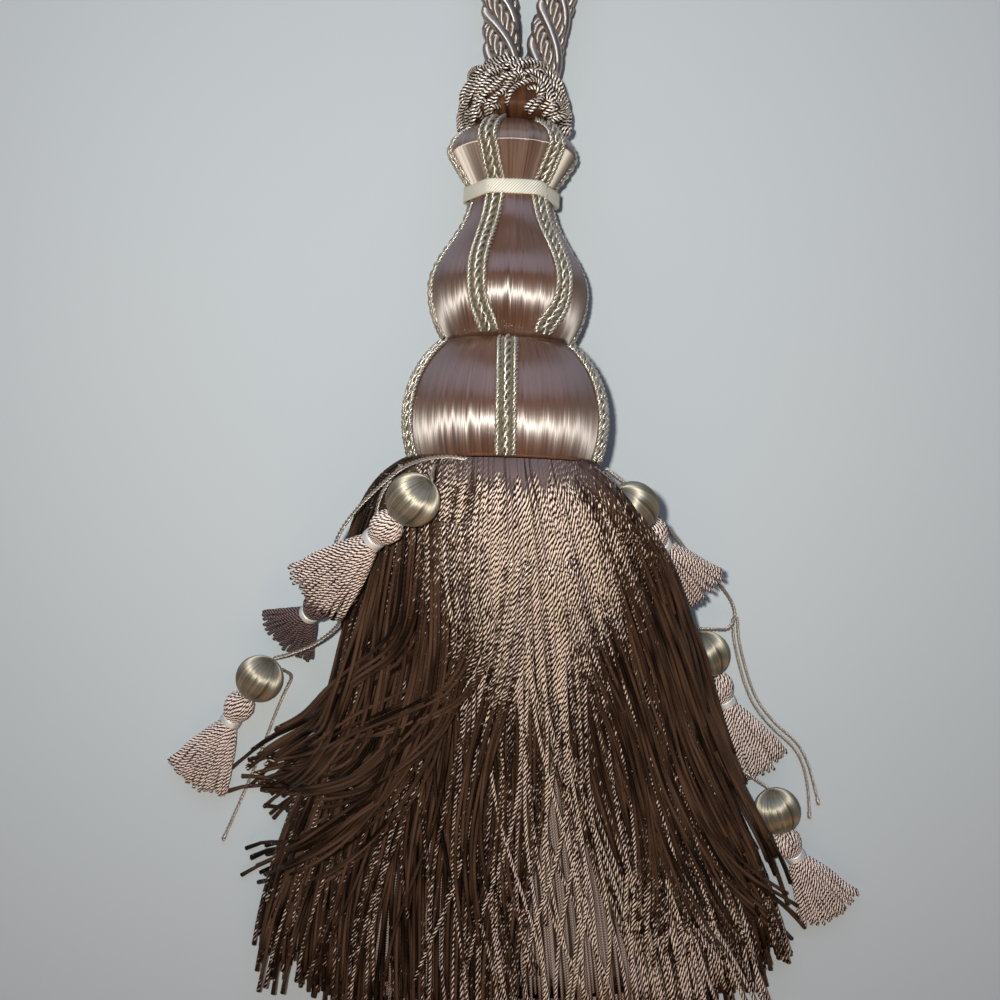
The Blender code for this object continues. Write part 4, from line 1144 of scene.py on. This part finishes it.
def open_parting(bearing, along):
    """Push the strands near the front parting aside, more so towards the hem."""
    half = PARTING_HALF * smooth_step(PARTING_START, 165.0, along)
    side = 1.0 if bearing[len(bearing) // 2] > PARTING else -1.0
    off = (bearing - PARTING) * side
    near = np.clip(1.0 - off / 32.0, 0.0, 1.0)
    started = smooth_step(0.6 * PARTING_START, PARTING_START, along)
    off = off + started * np.maximum(0.2 - off, 0.0)
    return PARTING + side * (off + half * near)


def read_table(table, where):
    places, values = zip(*table)
    return np.interp(where, places, values)


def painted_light(points, level):
    """Painted light and shade of a strand: painted highlight over the front of the skirt, painted shade
    towards its sides and in its depth.
    """
    below = -10.0 - points[:, 1]
    off = (points[:, 0] - read_table(LIGHT_MIDDLE, below)) / read_table(LIGHT_SPREAD, below)
    return np.clip(read_table(LIGHT_PEAK, below) * np.exp(-off ** 2) + level, 0.0, 1.0)


def strand(bearing, reach, inset, lock, wander, sway):
    """One strand of the skirt, from the rim to its cut end.

    lock is (bearing of its middle, turn it takes, how close it is drawn, lift); wander and sway bend it.
    """
    share = SHARES ** 1.3
    along = reach * share
    middle, turn, draw, lift = lock
    gather = smooth_step(0.25, 1.0, share)
    heading = bearing + (middle - bearing) * draw * gather + turn * gather
    heading = heading + wander * np.sin(math.tau * (share * sway[0] + sway[1])) * share
    heading = open_parting(heading, along)
    depth = inset - lift * np.sin(np.pi * np.clip(share * 1.15 - 0.1, 0.0, 1.0)) * share
    return skirt_surface(heading, along, depth)


def skirt_layer(count, locks, inset, spread, seed):
    """Lines, and painted light with random tint, of one layer of strands, gathered into locks that drift
    apart towards the hem.
    """
    rng = np.random.default_rng(seed)
    bearings = (np.arange(count) + rng.uniform(-0.45, 0.45, count)) * 360.0 / count - 180.0
    bearings = bearings + 22.0 * np.sin(np.radians(-2.0 * bearings)) / 2.0
    width = 360.0 / locks
    turns = rng.normal(0.0, spread, locks)
    draws = rng.uniform(*LOCK_DRAW, locks)
    lifts = rng.uniform(*LOCK_LIFT, locks)
    ends = rng.uniform(*LOCK_ENDS, locks)
    tints = rng.normal(0.0, LOCK_TINT, locks)
    sways = np.column_stack((rng.uniform(*LOCK_SWAY, locks), rng.uniform(0.0, 1.0, locks)))
    shade = LAYER_SHADE * (inset - SKIRT_LAYERS[0][3])
    lines, lights_and_tints = [], []
    for number, bearing in enumerate(bearings):
        index = int((bearing + 180.0) / width + rng.normal(0.0, 0.25)) % locks
        middle = -180.0 + width * (index + 0.5)
        if abs(middle - bearing) > 180.0:
            middle += 360.0 * np.sign(bearing - middle)
        turn = turns[index] * abs(math.cos(math.radians(bearing))) ** 0.5
        reach = reach_at(bearing) + ends[index] + rng.normal(0.0, STRAND_ENDS)
        depth = inset + 0.55 * (number % 2) - 0.25 + rng.uniform(-0.12, 0.12)
        line = strand(bearing, reach, depth, (middle, turn, draws[index], lifts[index]),
                      rng.normal(0.0, STRAND_WANDER), sways[index])
        lines.append(kept_up(line, STRAND_RADIUS))
        # painted light with the lock's and strand's random tint, less the painted shade of the layer's depth
        light_and_tint = painted_light(line, tints[index] + rng.normal(0.0, STRAND_TINT)) - shade
        lights_and_tints.append(np.clip(light_and_tint, 0.0, 1.0))
    return lines, lights_and_tints


def skirt_top(places):
    """Height of the skirt's front face over spots on the table, falling away beyond its edges."""
    along = np.maximum(0.0, -13.9 - places[:, 1])
    half, widest, crest, _, drift = skirt_sizes(along)
    off = np.abs(places[:, 0] - drift)
    face = widest + (crest - widest) * np.sqrt(1.0 - np.minimum(off / half, 1.0) ** 2)
    return np.maximum(face - 1.5 * np.maximum(off - half, 0.0), STRAND_RADIUS)


def draped_locks(locks, spread, seed):
    """Locks laid along routes over the skirt; spread is how far single strands stray at their ends."""
    rng = np.random.default_rng(seed)
    lines, lights_and_tints = [], []
    for count, top, half_way, end, thickness, route in locks:
        places = np.array(route)
        if places.shape[1] == 2:
            sink = 1.2 * np.exp(-np.arange(len(places)) / 0.7)
            places = np.column_stack((places, skirt_top(places) + 0.5 - sink))
        centre = resample(smooth_route(places, 1.0), STRAND_POINTS)
        side, up = frame_along(centre, UPRIGHT)
        width = np.interp(SHARES, (0.0, 0.5, 1.0), (top, half_way, end))
        for _ in range(round(0.8 * count)):
            across = rng.uniform(-0.5, 0.5)
            bend = 0.9 * np.sin(math.tau * (SHARES * rng.uniform(0.6, 1.6) + rng.uniform())) * SHARES
            bend = bend + spread * rng.normal() * smooth_step(0.45, 1.0, SHARES)
            rise = thickness * rng.uniform() * smooth_step(0.0, 0.2, SHARES)
            droop = 4.0 * across * across * smooth_step(0.0, 0.3, SHARES)
            line = centre + (across * width + bend)[:, None] * side + (rise - droop)[:, None] * up
            cut = rng.uniform(0.84, 1.0)
            line = resample(line[:round(cut * STRAND_POINTS)], STRAND_POINTS)
            lines.append(kept_up(line, STRAND_RADIUS))
            lights_and_tints.append(painted_light(line, rng.normal(-0.12, 0.1)))
    return lines, lights_and_tints


def stray_strands():
    """Single strands that have worked loose and lie across the others."""
    rng = np.random.default_rng(STRAY_SEED)
    lines, lights_and_tints = [], []
    for _ in range(STRAYS):
        start = rng.uniform(-60.0, 75.0)
        swing = rng.normal(0.0, 12.0) + 0.3 * start
        along = reach_at(start) * SHARES * rng.uniform(0.8, 1.02)
        bend = 2.5 * np.sin(math.tau * (1.4 * SHARES + rng.uniform())) * SHARES
        heading = start + swing * SHARES ** 1.5 + bend
        line = skirt_surface(heading, along, -STRAY_LIFT * smooth_step(0.15, 0.5, SHARES))
        lines.append(kept_up(line, STRAND_RADIUS))
        lights_and_tints.append(painted_light(line, rng.choice((0.0, 0.34)) + rng.normal(0.0, 0.12)))
    return lines, lights_and_tints


def make_strands(name, lines, lights_and_tints):
    """Strands of the outer skirt; each cut end frays a little wider."""
    radii = [STRAND_RADIUS * (1.0 + FRAYED * smooth_step(0.96, 1.0, SHARES))] * len(lines)
    tubes(name, lines, radii, 6, "skirt_yarn", ["outer_skirt"], lights_and_tints)


def make_outer_skirt():
    for name, *layer in SKIRT_LAYERS:
        make_strands(name, *skirt_layer(*layer))
    make_strands("skirt_sweeping_locks", *draped_locks(LAID_LOCKS, 2.6, 23))
    make_strands("skirt_covering_locks", *draped_locks(COVERING_LOCKS, 0.0, 29))
    make_strands("skirt_strays", *stray_strands())


def make_inner_skirt():
    """A dark core, and finer straight cords over it that show in the parting."""
    def core(turn, share):
        bearing = 360.0 * turn - 180.0
        return skirt_surface(bearing, (reach_at(bearing) - 14.0) * share, INNER_CORE_INSET)

    wrapped_sheet("inner_core", core, 90, 24, "inner_core", ["inner_skirt"])
    share = np.linspace(0.0, 1.0, 18)
    lines = []
    for row, inset in enumerate(INNER_INSETS):
        for bearing in np.arange(-180.0, 180.0, INNER_SPACING) + 0.5 * row:
            turn = RANDOM.normal(0.0, 0.5)
            reach = reach_at(bearing) - 8.0 + RANDOM.normal(0.0, 2.0)
            lines.append(skirt_surface(bearing + turn * share, reach * share, inset))
    tubes("inner_strands", lines, INNER_STRAND, 4, "inner_yarn", ["inner_skirt"])


# ---------------------------------------------------------------- the pendants

BEAD_HOLE = 0.45
BEAD_OPENING = 0.12          # radians from a bead's pole to the edge round its hole
TASSEL_YARN = 0.46
TASSEL_LOWEST = 0.45         # of a yarn's middle above the table
TASSEL_HEAD = (              # station, radius
    (-4.0, 0.5), (-3.6, 1.9), (-2.4, 3.3), (-0.6, 3.95), (1.4, 3.6), (3.0, 2.75), (4.2, 2.15), (5.2, 2.05),
    (6.2, 2.15),
)
TASSEL_LAYERS = ((30, 1.0), (22, 0.72), (14, 0.42))    # yarns, share of the full radius
TASSEL_FAN = (               # share of the way to the cut ends, half width, half thickness
    (0.0, 2.15, 2.15), (0.2, 4.1, 2.7), (0.55, 6.6, 2.9), (1.0, 9.5, 2.1),
)
WRAP_RADIUS = 2.95
WRAP_RIDGE = 0.12
WRAP_INSIDE = 2.3
WRAP_ROWS = 6


def heading_vector(heading, dip):
    """Heading in plan, clockwise from +Y as seen from above, and dip below level, both in degrees."""
    level = math.cos(math.radians(dip))
    turn = math.radians(heading)
    return Vector((level * math.sin(turn), level * math.cos(turn), -math.sin(math.radians(dip))))


def facing(centre, direction):
    """A place whose Z runs along direction and whose Y stays as near upright as it can."""
    side = direction.cross(Vector((0.0, 0.0, 1.0))).normalized()
    upright = side.cross(direction)
    return Matrix.Translation(centre) @ Matrix((side, upright, direction)).transposed().to_4x4()


def make_bead(letter, place):
    """A wooden bead wound lengthwise with floss, drawn in round the hole at each end."""
    angles = np.linspace(BEAD_OPENING, math.pi - BEAD_OPENING, 30)
    sides = [(BEAD_RADIUS * math.sin(a), -BEAD_RADIUS * math.cos(a)) for a in angles]
    foot = [(0.0, -BEAD_RADIUS + 1.6), (BEAD_HOLE, -BEAD_RADIUS + 0.5)]
    head = [(BEAD_HOLE, BEAD_RADIUS - 0.5), (0.0, BEAD_RADIUS - 1.6)]
    spun(f"pendant_{letter}_floss_bead", foot + sides + head, place, 64, "bead_satin",
         [f"pendant_{letter}_bead"])


def make_tassel(letter, place, length):
    """Looped yarn over a round head, bound at its neck, fanning out flat to cut ends."""
    rng = np.random.default_rng(ord(letter))
    place = np.array(place)
    head_along, head_radius = np.array(TASSEL_HEAD).T
    skew = 0.5 * (head_along + 4.0) / 10.0
    share = np.linspace(0.0, 1.0, 13)[1:]
    stations, widths, thicknesses = zip(*TASSEL_FAN)
    wide, thick = np.interp(share, stations, widths), np.interp(share, stations, thicknesses)
    lines = []
    for count, layer in TASSEL_LAYERS:
        for index in range(count):
            angle = math.tau * (index + rng.uniform(-0.25, 0.25)) / count
            x = head_radius * layer * np.cos(angle + skew)
            y = head_radius * layer * np.sin(angle + skew)
            end_angle = angle + skew[-1]
            reach = length - rng.uniform(0.0, 1.5) - 2.4 * math.cos(end_angle) ** 2 * layer
            wave = 0.35 * np.sin(9.0 * share + rng.uniform(0.0, 6.0)) * share
            fan_x = wide * layer * np.cos(end_angle) + wave
            fan_y = thick * layer * np.sin(end_angle)
            fan_along = head_along[-1] + (reach - head_along[-1]) * share
            local = np.column_stack([np.concatenate(pair) for pair in
                                     ((x, fan_x), (y, fan_y), (head_along, fan_along))])
            lines.append(kept_up(local @ place[:3, :3].T + place[:3, 3], TASSEL_LOWEST))
    tubes(f"pendant_{letter}_yarns", lines, TASSEL_YARN, 6, f"tassel_yarn_{letter}",
          [f"pendant_{letter}_tassel"])


def make_wrap(letter, place):
    """Floss bound round the tassel's neck in a smooth band."""
    outer = [(WRAP_RADIUS + WRAP_RIDGE * (i % 2), WRAP_START + (WRAP_END - WRAP_START) * i / WRAP_ROWS)
             for i in range(WRAP_ROWS + 1)]
    profile = [(WRAP_INSIDE, WRAP_START), *outer, (WRAP_INSIDE, WRAP_END), (WRAP_INSIDE, WRAP_START)]
    spun(f"pendant_{letter}_binding", profile, place, 32, "wrap_thread",
         [f"pendant_{letter}_wrap"])


def make_pendants():
    for letter, bead, bead_heading, bead_dip, heading, dip, length in PENDANTS:
        to_tassel = heading_vector(bead_heading, bead_dip)
        head = Vector(bead) + to_tassel * (BEAD_RADIUS + TASSEL_HEAD_RADIUS + BEAD_GAP)
        tassel_place = facing(head, heading_vector(heading, dip))
        make_bead(letter, facing(Vector(bead), heading_vector(bead_heading, bead_dip - BEAD_LIFT)))
        make_tassel(letter, tassel_place, length)
        make_wrap(letter, tassel_place)


# ---------------------------------------------------------------- everything, in order

make_rib_group()
make_plied_group()
make_rim_group()
make_fibre_group()
satin_finish("satin_floss", (0.056, 0.021, 0.011), (0.165, 0.074, 0.042), 520.0, 0.085, 0.8,
             tint=(1.0, 0.93, 0.85))
satin_finish("cap_floss", (0.03, 0.012, 0.008), (0.25, 0.145, 0.10), 190.0, 0.10, 1.0, 0.56, ior=3.3,
             tint=(1.0, 0.90, 0.77))
satin_finish("bead_satin", (0.13, 0.11, 0.07), (0.66, 0.59, 0.44), 150.0, 0.15, 0.5, 0.60, 0.8,
             tint=(1.0, 0.98, 0.92), spread=0.93)
ribbed_finish("embrace_satin", (0.02, 0.014, 0.014), (0.05, 0.037, 0.037), 26.0, 1000.0, 0.006, 0.52, 0.0,
              6.5, (1.0, 0.92, 0.84), 0.95)
ribbed_finish("embrace_ply", (0.012, 0.008, 0.005), (0.07, 0.046, 0.03), 12.0, 1000.0, 0.012, 0.50, 0.0,
              6.5, (1.0, 0.89, 0.77), 0.92)
ply_finish("cord_core", (0.03, 0.025, 0.02), (0.06, 0.05, 0.04))
ply_finish("fine_cord", (0.07, 0.055, 0.04), (0.75, 0.66, 0.56), 0.40, 0.8)
ply_finish("gimp_thread", (0.26, 0.22, 0.14), (1.0, 0.93, 0.79), 0.38, 0.95)
ribbed_finish("gimp_ground", (0.08, 0.07, 0.04), (0.34, 0.30, 0.19), 8.0, 1.2, 0.2, 0.6, 0.2)
ribbed_finish("binding", (0.42, 0.37, 0.24), (1.0, 0.96, 0.82), 100.0, 80.0, 0.12, 0.62, 0.35)
plied_finish("ruff_thread", (0.04, 0.022, 0.014), (1.0, 0.88, 0.75), 2.0, 1.9, 0.85, 0.44, 0.75, uneven=1.0)
satin_finish("ruff_floss", (0.004, 0.0025, 0.002), (0.14, 0.055, 0.024), 60.0, 0.14, 1.4, 0.8, 0.0, 1.4)
skirt_finish("skirt_yarn", (0.02, 0.008, 0.004), (1.0, 0.77, 0.67), (1.0, 0.81, 0.60),
             (0.032, 0.017, 0.010), (0.13, 0.095, 0.092), 4.8)
ribbed_finish("inner_core", (0.02, 0.013, 0.01), (0.08, 0.055, 0.04), 160.0, 1000.0, 0.2)
plied_finish("inner_yarn", (0.24, 0.17, 0.14), (0.68, 0.55, 0.47), 2.0, 1.8, 0.8, 0.55, 0.2)
ribbed_finish("wrap_thread", (0.42, 0.41, 0.37), (0.86, 0.85, 0.80), 2.0, 1000.0, 0.05)
PINK_YARN = ((0.018, 0.008, 0.006), (1.0, 0.80, 0.69))
# pendant b hangs in shade: its yarn is the pink one painted darker and greyer as shade
PINK_YARN_IN_SHADE = ((0.03, 0.018, 0.018), (0.22, 0.14, 0.135))
for pendant in PENDANTS:
    shades = PINK_YARN_IN_SHADE if pendant[0] == "b" else PINK_YARN
    plied_finish(f"tassel_yarn_{pendant[0]}", *shades, 2.0, 2.3, 0.95, 0.45, 0.0, uneven=0.9)

make_camera()
make_embrace_cord()
make_thin_cords()
make_mould("bulb", BULB_TOP, BULB_RIM, bulb_radius, 40)
make_mould("pear", PEAR_TOP, PEAR_BOTTOM, long_radius, 50)
make_mould("cap", CAP_TOP, CAP_BOTTOM, long_radius, 40, "cap_floss", [CAP_RIDGE])
make_gimps("long", LONG_GIMP_BEARINGS, PEAR_BOTTOM + 0.8, CAP_TOP - 0.8, long_radius)
make_gimps("bulb", BULB_GIMP_BEARINGS, BULB_RIM + 0.3, BULB_TOP - 0.8, bulb_radius)
make_neck_band()
make_ruff()
make_outer_skirt()
make_inner_skirt()
make_pendants()
make_stage()
